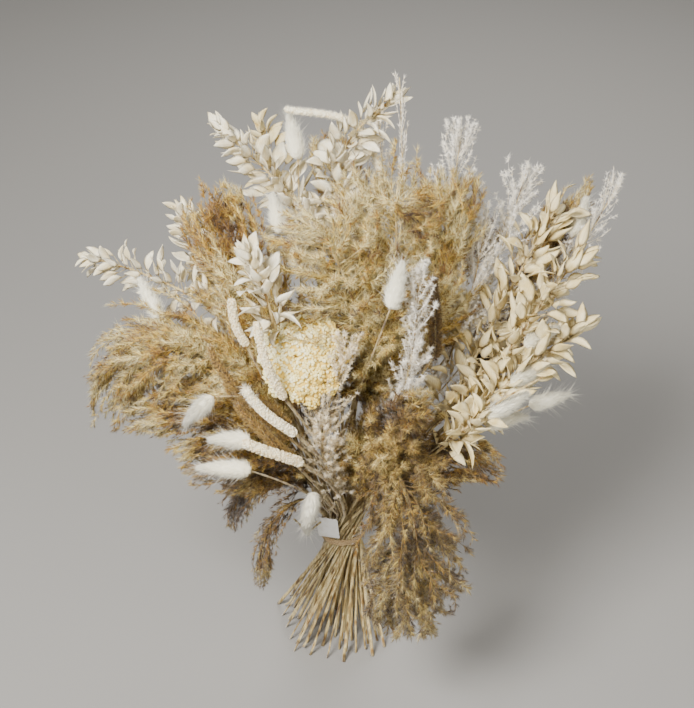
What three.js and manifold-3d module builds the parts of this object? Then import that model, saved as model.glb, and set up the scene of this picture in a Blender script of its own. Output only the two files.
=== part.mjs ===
// A standing, spiral hand-tied bundle of dried pampas grass with the other dried stems that are
// bound in with it: bunny tails, bleached ruscus, broom grass, millet spikes and one yarrow head.
//
// Units are millimetres and +Z is up. The bundle stands unheld on its cut stem ends, which lie in
// the plane Z = 0, and its front faces -Y.
//
// How the bundle is laid out:
//   * Every plant is one body: a cut stem, its rachis and its head, grown as one.
//   * At the tie the stems fill the places of a hexagonal grid. Below and just above the tie each
//     stem is straight and leans round the axis by the same rate, so the stems form a spiral that
//     is narrow at the tie and splayed at both ends, and no two of them ever meet.
//   * Above the release height a stem bends towards its own head. Stems are nudged apart until
//     they clear one another.
//   * Soft heads give way to stems and to firmer heads: each is hollowed by what pushes into it.

import * as THREE from "three";
import { mergeVertices } from "three/addons/utils/BufferGeometryUtils.js";
import Module from "manifold-3d";

const wasm = await Module();
wasm.setup();

// ---------------------------------------------------------------------------------------------
// Driving dimensions
// ---------------------------------------------------------------------------------------------

const TIE_HEIGHT = 135; // height of the binding above the cut ends
const RELEASE_HEIGHT = 178; // stems are straight up to here
const PLACE_PITCH = 4.9; // distance between neighbouring stems at the tie
const PLACE_RINGS = 4; // rings of places round the middle stem: 1 + 6 + 12 + 18 + 24 = 61
const SPIRAL_RATE = 0.028; // sideways lean of a stem for each mm it stands off the axis
const STEM_RADIUS = 1.75; // cut stem
const RACHIS_RADIUS = 1.1; // the thin upper stem inside a soft head
const BARE_RADIUS = 0.9; // the thin upper stem of a bunny tail
const TIP_RADIUS = 0.6; // where a rachis ends inside its soft head
const CLEARANCE = 0.5; // least gap kept between two plants
const STEM_SIDES = 5;

// How the free part of a stem runs from the release height to the foot of its head
const LEAST_RISE = 40; // a head is taken to stand at least this far above the tie
const LEAVE_PULL = 0.36; // how firmly the bend keeps the stem's own lean, as a share of its reach
const ARRIVE_PULL = 0.3; // how firmly it keeps the head's direction
const BEND_STEP = 48; // distance between points of the bend
const TAPER_RATE = 1.6; // a stem is down to its thin radius after 1 / 1.6 of the bend

// How crossing centre lines are moved apart
const SOFT_ROUNDS = 120; // rounds that also take out kinks
const FINAL_ROUNDS = 150; // rounds that only clear what still touches
const SOFTENING = 0.05;
const SPARE_GAP = 0.5; // moved apart by this much more than the clearance
const PUSH = 0.55; // share of a missing gap that each of two stems gives way
const HEAD_EASE = 0.3; // heads give way less readily than stems
const SEARCH_MARGIN = 8; // segments farther apart than this cannot touch
const YARROW_GUARD = 12; // stems may pass under the yarrow's dome, but not this near its axis

const TIE_WALL = 2.6; // thickness of the wound twine
const TIE_DEPTH = 9; // height of the wound twine
const TIE_TURNS = 3;

const TAG_WIDTH = 23;
const TAG_LENGTH = 38;
const TAG_THICKNESS = 0.8;
const TAG_CENTRE = new THREE.Vector3(-15.2, -26.6, TIE_HEIGHT + 26);
const TAG_LEAN = THREE.MathUtils.degToRad(17);
const TAG_TURN = THREE.MathUtils.degToRad(-12);

const LEAF_SPACING = 30; // ruscus leaves on one side of the twig
const LEAF_WIDTH = 13;
const LEAF_HALF_THICKNESS = 0.7;
const LEAF_BELLY = 0.42; // where a leaf is widest, as a share of its length
const LEAF_FIRST = 0.06; // where the lowest leaf grows, as a share of the twig
const LEAF_RUN = 0.9; // share of the twig that carries leaves
const LEAF_FORWARD = 0.75; // lean of a leaf along the twig, against 1 sideways
const LEAF_RAISE = 0.25; // lean of a leaf out of the plane of its two rows
const LEAF_SHRINK = 0.35; // how much smaller the leaves get towards the tip
const LEAF_TIP = 0.6; // size of the leaf at the tip
const LEAF_TIP_INSET = 2;
const LEAF_TILT = new THREE.Vector3(0, -0.42, 0.42); // turns the leaves' faces up and forwards

const MERGE_DISTANCE = 1e-4; // corners closer than this are one
const SLIVER = 0.02; // cuts leave no detail finer than this

// Colours, as sRGB
const COLOURS = {
  pampas: 0xc9ab78,
  tail: 0xf1ebdc,
  stick: 0xeae3cf,
  spike: 0xa98350,
  yarrow: 0xf0e2ba,
  ruscus: 0xebe2c8,
  wisp: 0xece6d6,
  tie: 0xb79a6a,
  tag: 0xf4f2ec,
};

// ---------------------------------------------------------------------------------------------
// The plants. "head" gives the centre line of the head from its foot to its tip, and "r" its
// greatest radius. They are listed from the firmest kind to the softest, which is the order in
// which they keep their shape where two of them press together.
// ---------------------------------------------------------------------------------------------

const PLANTS = [
  // bunny tails: small egg-shaped heads on bare, hair-thin stems
  { name: "tail_top", kind: "tail", r: 11, head: [[-42, 60, 560], [-46, 65, 580], [-50, 71, 602]] },
  { name: "tail_right_top", kind: "tail", r: 9.5, head: [[224, 34, 488], [230, 39, 507], [235, 44, 526]] },
  { name: "tail_centre", kind: "tail", r: 10, head: [[45, -126, 518], [49, -121, 536], [53, -116, 554]] },
  { name: "tail_left", kind: "tail", r: 9.5, head: [[-171, -62, 462], [-179, -56, 478], [-187, -50, 494]] },
  { name: "tail_left_low", kind: "tail", r: 9.5, head: [[-118, -148, 432], [-129, -153, 419], [-141, -156, 404]] },
  { name: "tail_pair_upper", kind: "tail", r: 10, head: [[-84, -152, 383], [-102, -154, 387], [-121, -156, 386]] },
  { name: "tail_pair_lower", kind: "tail", r: 10.5, head: [[-87, -167, 362], [-109, -170, 366], [-133, -171, 366]] },
  { name: "tail_hanging", kind: "tail", r: 10, head: [[-28, -132, 306], [-31, -138, 282], [-33, -139, 256]] },
  { name: "tail_right_a", kind: "tail", r: 10.5, head: [[137, -124, 392], [154, -119, 402], [172, -113, 411]] },
  { name: "tail_right_b", kind: "tail", r: 10, head: [[178, -95, 376], [197, -89, 382], [217, -84, 385]] },
  { name: "tail_right_c", kind: "tail", r: 9, head: [[142, -104, 364], [158, -101, 370], [176, -97, 370]] },
  { name: "tail_right_d", kind: "tail", r: 9, head: [[166, -82, 399], [180, -76, 405], [196, -70, 410]] },
  { name: "tail_right_e", kind: "tail", r: 9.5, head: [[173, -60, 424], [189, -55, 432], [206, -50, 437]] },
  { name: "tail_upper_left", kind: "tail", r: 10.5, head: [[-56, -22, 530], [-60, -18, 546], [-64, -12, 562]] },

  // bleached millet spikes, thick and pale
  { name: "stick_arch", kind: "stick", r: 4, head: [[37, 66, 545], [12, 68, 594], [-54, 66, 606]] },
  { name: "stick_short", kind: "stick", r: 4, head: [[-86, -104, 456], [-97, -104, 480], [-98, -98, 503]] },
  { name: "stick_long", kind: "stick", r: 4.2, head: [[-52, -146, 429], [-66, -150, 468], [-74, -144, 510]] },
  { name: "stick_tufted", kind: "stick", r: 4.5, head: [[-43, -156, 396], [-69, -160, 422], [-86, -158, 448]] },
  { name: "stick_low", kind: "stick", r: 5, head: [[-38, -168, 372], [-63, -177, 390], [-88, -180, 404]] },

  // natural brown spikes
  { name: "spike_hook", kind: "spike", r: 5, head: [[-50, -134, 388], [-104, -146, 452], [-116, -142, 482]] },
  { name: "spike_mid", kind: "spike", r: 5, head: [[-50, -128, 368], [-74, -134, 405], [-104, -132, 446]] },
  { name: "spike_low", kind: "spike", r: 4.5, head: [[-47, -140, 350], [-69, -148, 387], [-95, -148, 420]] },
  { name: "spike_centre", kind: "spike", r: 6, head: [[88, -72, 424], [86, -78, 474], [83, -76, 512]] },

  // one yarrow head, a shallow granular dome
  { name: "yarrow", kind: "yarrow", r: 37, head: [[-29, -84, 410], [-35, -106, 440], [-38, -122, 464]] },

  // bleached ruscus, two rows of pointed leaves on a twig
  { name: "ruscus_top_left", kind: "ruscus", r: 34, head: [[-18, 22, 470], [-58, 48, 540], [-98, 62, 574]] },
  { name: "ruscus_top_right", kind: "ruscus", r: 32, head: [[-2, 36, 474], [-8, 58, 556], [34, 68, 604]] },
  { name: "ruscus_left_out", kind: "ruscus", r: 30, head: [[-96, -36, 432], [-160, -28, 474], [-220, -12, 486]] },
  { name: "ruscus_left_up", kind: "ruscus", r: 30, head: [[-92, -14, 430], [-122, -4, 476], [-143, 8, 512]] },
  { name: "ruscus_left_mid", kind: "ruscus", r: 26, head: [[-60, -92, 438], [-60, -106, 492], [-76, -102, 538]] },
  { name: "ruscus_right_a", kind: "ruscus", r: 36, head: [[98, -54, 340], [156, -8, 444], [206, 36, 522]] },
  { name: "ruscus_right_b", kind: "ruscus", r: 34, head: [[112, -64, 344], [172, -40, 432], [224, 4, 482]] },
  { name: "ruscus_right_c", kind: "ruscus", r: 32, head: [[116, -86, 348], [170, -72, 412], [224, -40, 430]] },
  { name: "ruscus_right_d", kind: "ruscus", r: 28, head: [[98, -108, 344], [134, -122, 394], [172, -116, 420]] },
  { name: "ruscus_back", kind: "ruscus", r: 34, head: [[-24, 86, 400], [-52, 130, 470], [-74, 150, 524]] },

  // bleached broom grass and tree fern, loose and hair-fine
  { name: "wisp_top", kind: "wisp", r: 9, head: [[60, 24, 440], [59, 48, 530], [54, 68, 640]] },
  { name: "wisp_white", kind: "wisp", r: 14, head: [[92, 22, 420], [104, 44, 510], [114, 56, 592]] },
  { name: "wisp_curl", kind: "wisp", r: 13, head: [[122, 4, 396], [154, 32, 468], [176, 50, 548]] },
  { name: "wisp_far_right", kind: "wisp", r: 9, head: [[160, 0, 380], [226, 26, 466], [264, 42, 542]] },
  { name: "wisp_centre", kind: "wisp", r: 12, head: [[58, -92, 392], [66, -112, 472], [68, -104, 536]] },
  { name: "wisp_fern", kind: "wisp", r: 18, head: [[100, -20, 360], [124, -10, 446], [138, 16, 528]] },
  { name: "wisp_low", kind: "wisp", r: 15, head: [[-8, -92, 280], [-16, -126, 374], [6, -126, 470]] },
  { name: "wisp_back", kind: "wisp", r: 14, head: [[30, 96, 400], [42, 132, 474], [36, 150, 556]] },

  // pampas plumes
  { name: "pampas_front_fall", kind: "pampas", r: 46, head: [[44, -104, 330], [62, -166, 322], [68, -132, 142]] },
  { name: "pampas_front_rise", kind: "pampas", r: 34, head: [[38, -70, 290], [56, -118, 362], [58, -122, 432]] },
  { name: "pampas_crown_mid", kind: "pampas", r: 42, head: [[48, -12, 420], [50, -28, 520], [50, 4, 600]] },
  { name: "pampas_crown_left", kind: "pampas", r: 38, head: [[30, -48, 420], [2, -70, 512], [-36, -62, 576]] },
  { name: "pampas_crown_right", kind: "pampas", r: 32, head: [[76, -22, 420], [92, -16, 500], [102, 18, 556]] },
  { name: "pampas_upper_left", kind: "pampas", r: 34, head: [[-70, -30, 400], [-98, -26, 510], [-142, 6, 566]] },
  { name: "pampas_left_arch", kind: "pampas", r: 40, head: [[-72, -62, 384], [-148, -72, 438], [-222, -82, 372]] },
  { name: "pampas_left_low", kind: "pampas", r: 32, head: [[-66, -92, 340], [-138, -106, 388], [-206, -104, 350]] },
  { name: "pampas_under_left", kind: "pampas", r: 26, head: [[-48, -90, 296], [-102, -122, 340], [-154, -124, 334]] },
  { name: "pampas_hang_side", kind: "pampas", r: 20, head: [[-52, -74, 274], [-86, -98, 296], [-104, -98, 246]] },
  { name: "pampas_hang_left", kind: "pampas", r: 15, head: [[-42, -82, 252], [-66, -106, 250], [-82, -108, 172]] },
  { name: "pampas_right_back", kind: "pampas", r: 30, head: [[124, -14, 330], [182, 28, 430], [223, 54, 524]] },
  { name: "pampas_right_low", kind: "pampas", r: 27, head: [[74, -62, 272], [114, -94, 318], [154, -108, 316]] },
  { name: "pampas_back_mid", kind: "pampas", r: 42, head: [[2, 60, 360], [4, 116, 450], [0, 140, 540]] },
  { name: "pampas_back_left", kind: "pampas", r: 40, head: [[-40, 52, 300], [-104, 108, 370], [-150, 128, 410]] },
  { name: "pampas_back_right", kind: "pampas", r: 40, head: [[46, 58, 310], [110, 108, 390], [146, 132, 450]] },
];

// Kinds whose centre line may not be crossed and whose heads push stems aside
const FIRM_KINDS = ["tail", "stick", "spike", "yarrow"];

// Radius along a head, as shares of the greatest radius, from foot to tip
const PROFILES = {
  pampas: [0.16, 0.62, 0.96, 1.0, 0.84, 0.52, 0.1],
  tail: [0.42, 0.92, 1.0, 0.66, 0.12],
  stick: [0.72, 0.95, 1.0, 0.96, 0.86, 0.5],
  spike: [0.6, 0.95, 1.0, 0.94, 0.74, 0.35],
  wisp: [0.2, 0.66, 1.0, 0.8, 0.46, 0.1],
};

const HEAD_SIDES = { pampas: 8, tail: 8, stick: 6, spike: 6, wisp: 6 };

// The yarrow's outline from foot to top, as shares of its height and of its radius
const YARROW_OUTLINE = [[0, 0.08], [0.42, 0.62], [0.62, 1.0], [0.84, 0.94], [1.0, 0.52]];
const YARROW_SIDES = 12;

const TIE_SIDES = 16;
const TIE_GROOVE = 0.55; // depth left between two turns of twine, as a share of its thickness
const TIE_EASE = 1.2; // room left for the outermost stems, in stem radii

const DRY_ROUGHNESS = 0.9;
const TWINE_ROUGHNESS = 0.85;
const PAPER_ROUGHNESS = 0.7;

// ---------------------------------------------------------------------------------------------
// Centre lines
// ---------------------------------------------------------------------------------------------

// Where the stem in waist place (px, py) passes the height z. The same lean for every place makes
// this a scaled turn of the whole grid, so the stems keep their spacing and cannot cross.
function stemPoint(place, z) {
  const lean = SPIRAL_RATE * (z - TIE_HEIGHT);
  return new THREE.Vector3(place.x - lean * place.y, place.y + lean * place.x, z);
}

// The hexagonal grid of stem places at the tie
function makePlaces() {
  const places = [];
  for (let q = -PLACE_RINGS; q <= PLACE_RINGS; q += 1) {
    for (let s = -PLACE_RINGS; s <= PLACE_RINGS; s += 1) {
      if (Math.abs(q + s) > PLACE_RINGS) continue;
      const x = PLACE_PITCH * (q + s / 2);
      const y = PLACE_PITCH * s * (Math.sqrt(3) / 2);
      places.push(new THREE.Vector2(x, y));
    }
  }
  return places;
}

// The place a stem would need to run straight from the tie to its head, held inside the bundle
function wantedPlace(foot) {
  const rise = Math.max(foot.z - TIE_HEIGHT, LEAST_RISE);
  const share = (RELEASE_HEIGHT - TIE_HEIGHT) / rise;
  const lean = SPIRAL_RATE * (RELEASE_HEIGHT - TIE_HEIGHT);
  const x = foot.x * share;
  const y = foot.y * share;
  const scale = 1 + lean * lean;
  const place = new THREE.Vector2((x + lean * y) / scale, (y - lean * x) / scale);
  return place.clampLength(0, PLACE_PITCH * (PLACE_RINGS + 0.5));
}

// Gives every plant the free place nearest to the one it wants, outermost plants first
function assignPlaces(plants) {
  const free = makePlaces();
  const order = plants.map((plant) => ({ plant, wanted: wantedPlace(plant.foot) }));
  order.sort((a, b) => b.wanted.length() - a.wanted.length());
  for (const { plant, wanted } of order) {
    let best = 0;
    for (let i = 1; i < free.length; i += 1) {
      if (free[i].distanceTo(wanted) < free[best].distanceTo(wanted)) best = i;
    }
    plant.place = free.splice(best, 1)[0];
  }
}

// Samples a plant's whole centre line: straight stem, bend, then head
function makeLine(plant) {
  const [foot, middle, tip] = plant.head.map((p) => new THREE.Vector3(...p));
  const release = stemPoint(plant.place, RELEASE_HEIGHT);
  const below = stemPoint(plant.place, RELEASE_HEIGHT - 1);
  const leave = release.clone().sub(below).normalize();
  const head = new THREE.CatmullRomCurve3([foot, middle, tip], false, "centripetal");
  const arrive = head.getTangent(0);
  const reach = release.distanceTo(foot);
  const bend = new THREE.CubicBezierCurve3(
    release,
    release.clone().addScaledVector(leave, reach * LEAVE_PULL),
    foot.clone().addScaledVector(arrive, -reach * ARRIVE_PULL),
    foot,
  );
  const bendSteps = Math.max(3, Math.round(reach / BEND_STEP));
  plant.line = [stemPoint(plant.place, 0), release.clone()];
  for (let i = 1; i <= bendSteps; i += 1) plant.line.push(bend.getPoint(i / bendSteps));
  plant.footIndex = plant.line.length - 1;
  const headSteps = plant.kind === "tail" ? 2 : 4;
  for (let i = 1; i <= headSteps; i += 1) plant.line.push(head.getPoint(i / headSteps));
}

// Radius of the uncuttable core at a point of the centre line
function coreRadius(plant, index) {
  if (index <= 1) return STEM_RADIUS;
  const thin = plant.kind === "tail" ? BARE_RADIUS : RACHIS_RADIUS;
  const share = Math.min((index - 1) / Math.max(plant.footIndex - 1, 1), 1);
  return STEM_RADIUS + (thin - STEM_RADIUS) * Math.min(share * TAPER_RATE, 1);
}

// How far other stems must stay from a point of the centre line
function guardRadius(plant, index) {
  const core = coreRadius(plant, index);
  if (index <= plant.footIndex) return core;
  if (plant.kind === "yarrow") return YARROW_GUARD;
  return FIRM_KINDS.includes(plant.kind) ? plant.r : core;
}

// Nearest approach of two segments, as shares along each
function closestShares(a0, a1, b0, b1) {
  const u = a1.clone().sub(a0);
  const v = b1.clone().sub(b0);
  const w = a0.clone().sub(b0);
  const a = u.dot(u);
  const b = u.dot(v);
  const c = v.dot(v);
  const d = u.dot(w);
  const e = v.dot(w);
  const D = a * c - b * b;
  let s = D > 1e-9 ? THREE.MathUtils.clamp((b * e - c * d) / D, 0, 1) : 0.5;
  const t = THREE.MathUtils.clamp((b * s + e) / c, 0, 1);
  s = THREE.MathUtils.clamp((b * t - d) / a, 0, 1);
  return [s, t];
}

// Pushes crossing centre lines apart above the release height, softening bends as it goes
function clearLines(plants, rounds, softening) {
  const segments = [];
  for (const plant of plants) {
    for (let i = 1; i < plant.line.length - 1; i += 1) segments.push({ plant, i });
  }
  for (let round = 0; round < rounds; round += 1) {
    for (const seg of segments) {
      const a = seg.plant.line[seg.i];
      const b = seg.plant.line[seg.i + 1];
      seg.box = new THREE.Box3().setFromPoints([a, b]).expandByScalar(SEARCH_MARGIN);
    }
    for (let m = 0; m < segments.length; m += 1) {
      for (let n = m + 1; n < segments.length; n += 1) {
        const one = segments[m];
        const two = segments[n];
        if (one.plant === two.plant || !one.box.intersectsBox(two.box)) continue;
        separate(one, two);
      }
    }
    for (const plant of plants) soften(plant, softening);
  }
}

// Moves the ends of two segments apart by what they lack
function separate(one, two) {
  const [a0, a1] = [one.plant.line[one.i], one.plant.line[one.i + 1]];
  const [b0, b1] = [two.plant.line[two.i], two.plant.line[two.i + 1]];
  const [s, t] = closestShares(a0, a1, b0, b1);
  const pa = a0.clone().lerp(a1, s);
  const pb = b0.clone().lerp(b1, t);
  const gap = pa.clone().sub(pb);
  const distance = Math.max(gap.length(), 1e-3);
  const ra = guardRadius(one.plant, one.i + (s > 0.5 ? 1 : 0));
  const rb = guardRadius(two.plant, two.i + (t > 0.5 ? 1 : 0));
  const lack = ra + rb + CLEARANCE + SPARE_GAP - distance;
  if (lack <= 0) return;
  gap.normalize().multiplyScalar(lack * PUSH);
  shift(one.plant, one.i, gap, 1 - s);
  shift(one.plant, one.i + 1, gap, s);
  gap.negate();
  shift(two.plant, two.i, gap, 1 - t);
  shift(two.plant, two.i + 1, gap, t);
}

// Heads move less readily than stems, and nothing at or below the release height moves at all
function shift(plant, index, move, share) {
  if (index <= 1) return;
  const ease = index < plant.footIndex ? 1 : HEAD_EASE;
  plant.line[index].addScaledVector(move, ease * share);
}

// Takes kinks out of the free part of a stem
function soften(plant, amount) {
  for (let i = 2; i < plant.footIndex; i += 1) {
    const between = plant.line[i - 1].clone().lerp(plant.line[i + 1], 0.5);
    plant.line[i].lerp(between, amount);
  }
}

// ---------------------------------------------------------------------------------------------
// Solids
// ---------------------------------------------------------------------------------------------

// Turns a closed geometry into a solid that can be joined and cut, with its faces outwards
function solidFrom(geometry) {
  const bare = geometry.clone();
  bare.deleteAttribute("normal");
  bare.deleteAttribute("uv");
  const merged = mergeVertices(bare, MERGE_DISTANCE);
  const index = merged.index.array;
  const triangles = [];
  for (let i = 0; i < index.length; i += 3) {
    const [a, b, c] = [index[i], index[i + 1], index[i + 2]];
    if (a !== b && b !== c && c !== a) triangles.push(a, b, c);
  }
  const vertProperties = new Float32Array(merged.attributes.position.array);
  const outward = new wasm.Manifold(new wasm.Mesh({
    numProp: 3,
    vertProperties,
    triVerts: new Uint32Array(triangles),
  }));
  if (outward.volume() > 0) return outward;
  return new wasm.Manifold(new wasm.Mesh({
    numProp: 3,
    vertProperties,
    triVerts: new Uint32Array(triangles.reverse()),
  }));
}

// Frames that follow a centre line without twisting: one pair of crossing directions a point
function framesAlong(line) {
  let across = null;
  return line.map((_, i) => {
    const before = line[Math.max(i - 1, 0)];
    const after = line[Math.min(i + 1, line.length - 1)];
    const along = after.clone().sub(before).normalize();
    if (!across) {
      const helper = Math.abs(along.x) < 0.9 ? new THREE.Vector3(1, 0, 0) : new THREE.Vector3(0, 1, 0);
      across = helper.cross(along);
    }
    across = across.clone().addScaledVector(along, -across.dot(along)).normalize();
    return { along, across, other: along.clone().cross(across) };
  });
}

// A lathe turned round a straight axis, then bent along a centre line. Ring i of the lathe sits at
// point i of the line. A line that starts on the ground has its first ring laid flat on it.
function sweep(line, radii, sides, grow = 0) {
  const last = line.length - 1;
  const profile = [new THREE.Vector2(0, 0)];
  radii.forEach((radius, i) => profile.push(new THREE.Vector2(radius + grow, i)));
  profile.push(new THREE.Vector2(0, last));
  const geometry = new THREE.LatheGeometry(profile, sides);
  const frames = framesAlong(line);
  const corners = geometry.attributes.position;
  for (let v = 0; v < corners.count; v += 1) {
    const ring = Math.round(corners.getY(v));
    const { along, across, other } = frames[ring];
    const corner = line[ring].clone();
    corner.addScaledVector(across, corners.getX(v)).addScaledVector(other, corners.getZ(v));
    const onGround = ring === 0 && line[0].z === 0;
    if (onGround) corner.addScaledVector(along, -corner.z / along.z).setZ(0);
    else if (ring === 0) corner.addScaledVector(along, -grow);
    if (ring === last) corner.addScaledVector(along, grow);
    corners.setXYZ(v, corner.x, corner.y, corner.z);
  }
  return solidFrom(geometry);
}

// The join of several solids
function join(solids) {
  return solids.reduce((whole, piece) => whole.add(piece));
}

// Stem and rachis: never cut by anything
function coreSolid(plant, grow = 0) {
  const end = plant.kind === "tail" ? plant.line.length - 1 : plant.line.length;
  const line = plant.line.slice(0, end);
  const radii = line.map((_, i) => coreRadius(plant, i));
  if (plant.kind === "pampas" || plant.kind === "wisp") radii[radii.length - 1] = TIP_RADIUS;
  return sweep(line, radii, STEM_SIDES, grow);
}

// The head's centre line, resampled to as many points as its profile has
function headLine(plant, count) {
  const points = plant.line.slice(plant.footIndex);
  const curve = new THREE.CatmullRomCurve3(points, false, "centripetal");
  const line = [];
  for (let i = 0; i < count; i += 1) line.push(curve.getPoint(i / (count - 1)));
  return line;
}

function sweptHead(plant, grow) {
  const profile = PROFILES[plant.kind];
  const line = headLine(plant, profile.length);
  const radii = profile.map((share) => share * plant.r);
  return sweep(line, radii, HEAD_SIDES[plant.kind], grow);
}

// The yarrow's dome on the funnel of its branches
function yarrowHead(plant, grow) {
  const line = headLine(plant, 3);
  const axis = line[2].clone().sub(line[0]).normalize();
  const reach = line[2].distanceTo(line[0]);
  const rings = YARROW_OUTLINE.map(([up]) => line[0].clone().addScaledVector(axis, up * reach));
  const radii = YARROW_OUTLINE.map(([, across]) => across * plant.r);
  return sweep(rings, radii, YARROW_SIDES, grow);
}

// One pointed, flat leaf: an octahedron drawn out to a thin lozenge with a rib on each face
function leafSolid(root, along, face, length, width, grow) {
  const side = along.clone().cross(face).normalize();
  const geometry = new THREE.OctahedronGeometry(1);
  const corners = geometry.attributes.position;
  for (let v = 0; v < corners.count; v += 1) {
    const reach = LEAF_BELLY * length + corners.getX(v) * (length / 2 + grow);
    const bellied = Math.abs(corners.getX(v)) > 0.5 ? reach + (0.5 - LEAF_BELLY) * length : reach;
    const corner = root.clone().addScaledVector(along, bellied);
    corner.addScaledVector(side, corners.getY(v) * (width / 2 + grow));
    corner.addScaledVector(face, corners.getZ(v) * (LEAF_HALF_THICKNESS + grow));
    corners.setXYZ(v, corner.x, corner.y, corner.z);
  }
  return solidFrom(geometry);
}

// Ruscus leaves in two rows along the twig, with one at its tip
function ruscusHead(plant, grow) {
  const curve = new THREE.CatmullRomCurve3(plant.line.slice(plant.footIndex), false, "centripetal");
  const pairs = Math.round(curve.getLength() / LEAF_SPACING);
  const outward = curve.getPoint(0.6).setZ(0).normalize();
  const leaves = [];
  for (let i = 0; i < pairs * 2; i += 1) {
    const share = LEAF_FIRST + (LEAF_RUN * i) / (pairs * 2);
    const root = curve.getPoint(share);
    const along = curve.getTangent(share);
    const face = outward.clone().addScaledVector(along, -outward.dot(along));
    face.add(LEAF_TILT).normalize();
    const side = along.clone().cross(face).normalize().multiplyScalar(i % 2 ? 1 : -1);
    const aim = side.addScaledVector(along, LEAF_FORWARD).addScaledVector(face, LEAF_RAISE);
    aim.normalize();
    const flat = face.clone().addScaledVector(aim, -face.dot(aim)).normalize();
    const size = 1 - LEAF_SHRINK * share;
    leaves.push(leafSolid(root, aim, flat, plant.r * size, LEAF_WIDTH * size, grow));
  }
  const tip = curve.getPoint(1);
  const aim = curve.getTangent(1);
  const flat = outward.clone().addScaledVector(aim, -outward.dot(aim)).normalize();
  tip.addScaledVector(aim, -LEAF_TIP_INSET);
  leaves.push(leafSolid(tip, aim, flat, plant.r * LEAF_TIP, LEAF_WIDTH * LEAF_TIP, grow));
  return join(leaves);
}

function headSolid(plant, grow = 0) {
  if (plant.kind === "yarrow") return yarrowHead(plant, grow);
  if (plant.kind === "ruscus") return ruscusHead(plant, grow);
  return sweptHead(plant, grow);
}

// The largest connected piece of a solid
function largest(solid) {
  const pieces = solid.decompose();
  pieces.sort((a, b) => b.volume() - a.volume());
  return pieces[0];
}

// The binding: twine wound round the waist, drawn as a ring with one bulge for each turn
function tieSolid() {
  const inner = PLACE_PITCH * PLACE_RINGS + STEM_RADIUS * TIE_EASE + CLEARANCE;
  const bottom = -TIE_DEPTH / 2;
  const turn = TIE_DEPTH / TIE_TURNS;
  const groove = inner + TIE_WALL * TIE_GROOVE;
  const outline = [new THREE.Vector2(inner, bottom)];
  for (let i = 0; i < TIE_TURNS; i += 1) {
    outline.push(new THREE.Vector2(groove, bottom + i * turn));
    outline.push(new THREE.Vector2(inner + TIE_WALL, bottom + (i + 0.5) * turn));
  }
  outline.push(new THREE.Vector2(groove, -bottom));
  outline.push(new THREE.Vector2(inner, -bottom));
  outline.push(outline[0].clone());
  const ring = new THREE.LatheGeometry(outline, TIE_SIDES);
  ring.rotateX(Math.PI / 2);
  ring.translate(0, 0, TIE_HEIGHT);
  return solidFrom(ring);
}

// The blank paper tag that leans against the stems in front of the tie
function tagSolid() {
  const card = new THREE.BoxGeometry(TAG_WIDTH, TAG_THICKNESS, TAG_LENGTH);
  card.rotateX(TAG_LEAN);
  card.rotateZ(TAG_TURN);
  card.translate(TAG_CENTRE.x, TAG_CENTRE.y, TAG_CENTRE.z);
  return solidFrom(card);
}

// ---------------------------------------------------------------------------------------------
// Putting the bundle together
// ---------------------------------------------------------------------------------------------

function boxesMeet(a, b) {
  for (let k = 0; k < 3; k += 1) {
    if (a.min[k] > b.max[k] || b.min[k] > a.max[k]) return false;
  }
  return true;
}

// Every plant's finished solid, firm ones first
function makePlantSolids(plants) {
  const binding = [tieSolid(), tagSolid()];
  for (const plant of plants) {
    plant.grownCore = coreSolid(plant, CLEARANCE);
    plant.fullHead = headSolid(plant);
    plant.grownHead = headSolid(plant, CLEARANCE);
  }
  plants.forEach((plant, index) => {
    const box = plant.fullHead.boundingBox();
    const cores = plants.filter((other) => other !== plant).map((other) => other.grownCore);
    const firmerHeads = plants.slice(0, index).map((other) => other.grownHead);
    const near = [...cores, ...firmerHeads, ...binding];
    const cutters = near.filter((solid) => boxesMeet(box, solid.boundingBox()));
    let head = plant.fullHead;
    for (const cutter of cutters) head = head.subtract(cutter);
    plant.solid = largest(head.add(coreSolid(plant)).simplify(SLIVER));
  });
}

// Turns a solid into a named three.js mesh
function toMesh(name, solid, colour, roughness) {
  const { numVert, numProp, vertProperties, triVerts } = solid.getMesh();
  const positions = new Float32Array(numVert * 3);
  for (let v = 0; v < numVert; v += 1) {
    positions.set(vertProperties.subarray(v * numProp, v * numProp + 3), v * 3);
  }
  const geometry = new THREE.BufferGeometry();
  geometry.setAttribute("position", new THREE.BufferAttribute(positions, 3));
  geometry.setIndex(new THREE.BufferAttribute(new Uint32Array(triVerts), 1));
  geometry.computeVertexNormals();
  const material = new THREE.MeshStandardMaterial({ color: colour, roughness, metalness: 0 });
  const mesh = new THREE.Mesh(geometry, material);
  mesh.name = name;
  return mesh;
}

const plants = PLANTS.map((plant) => ({ ...plant, foot: new THREE.Vector3(...plant.head[0]) }));
assignPlaces(plants);
plants.forEach(makeLine);
clearLines(plants, SOFT_ROUNDS, SOFTENING);
clearLines(plants, FINAL_ROUNDS, 0);
makePlantSolids(plants);

const bundle = new THREE.Group();
for (const kind of new Set(PLANTS.map((plant) => plant.kind))) {
  const group = new THREE.Group();
  for (const plant of plants.filter((one) => one.kind === kind)) {
    group.add(toMesh(plant.name, plant.solid, COLOURS[kind], DRY_ROUGHNESS));
  }
  bundle.add(group);
}
bundle.add(toMesh("tie", tieSolid(), COLOURS.tie, TWINE_ROUGHNESS));
bundle.add(toMesh("tag", tagSolid(), COLOURS.tag, PAPER_ROUGHNESS));

// The middle of the whole bundle's box stands over the origin
const middle = new THREE.Box3().setFromObject(bundle).getCenter(new THREE.Vector3());
bundle.position.set(-middle.x, -middle.y, 0);

export default bundle;
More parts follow.
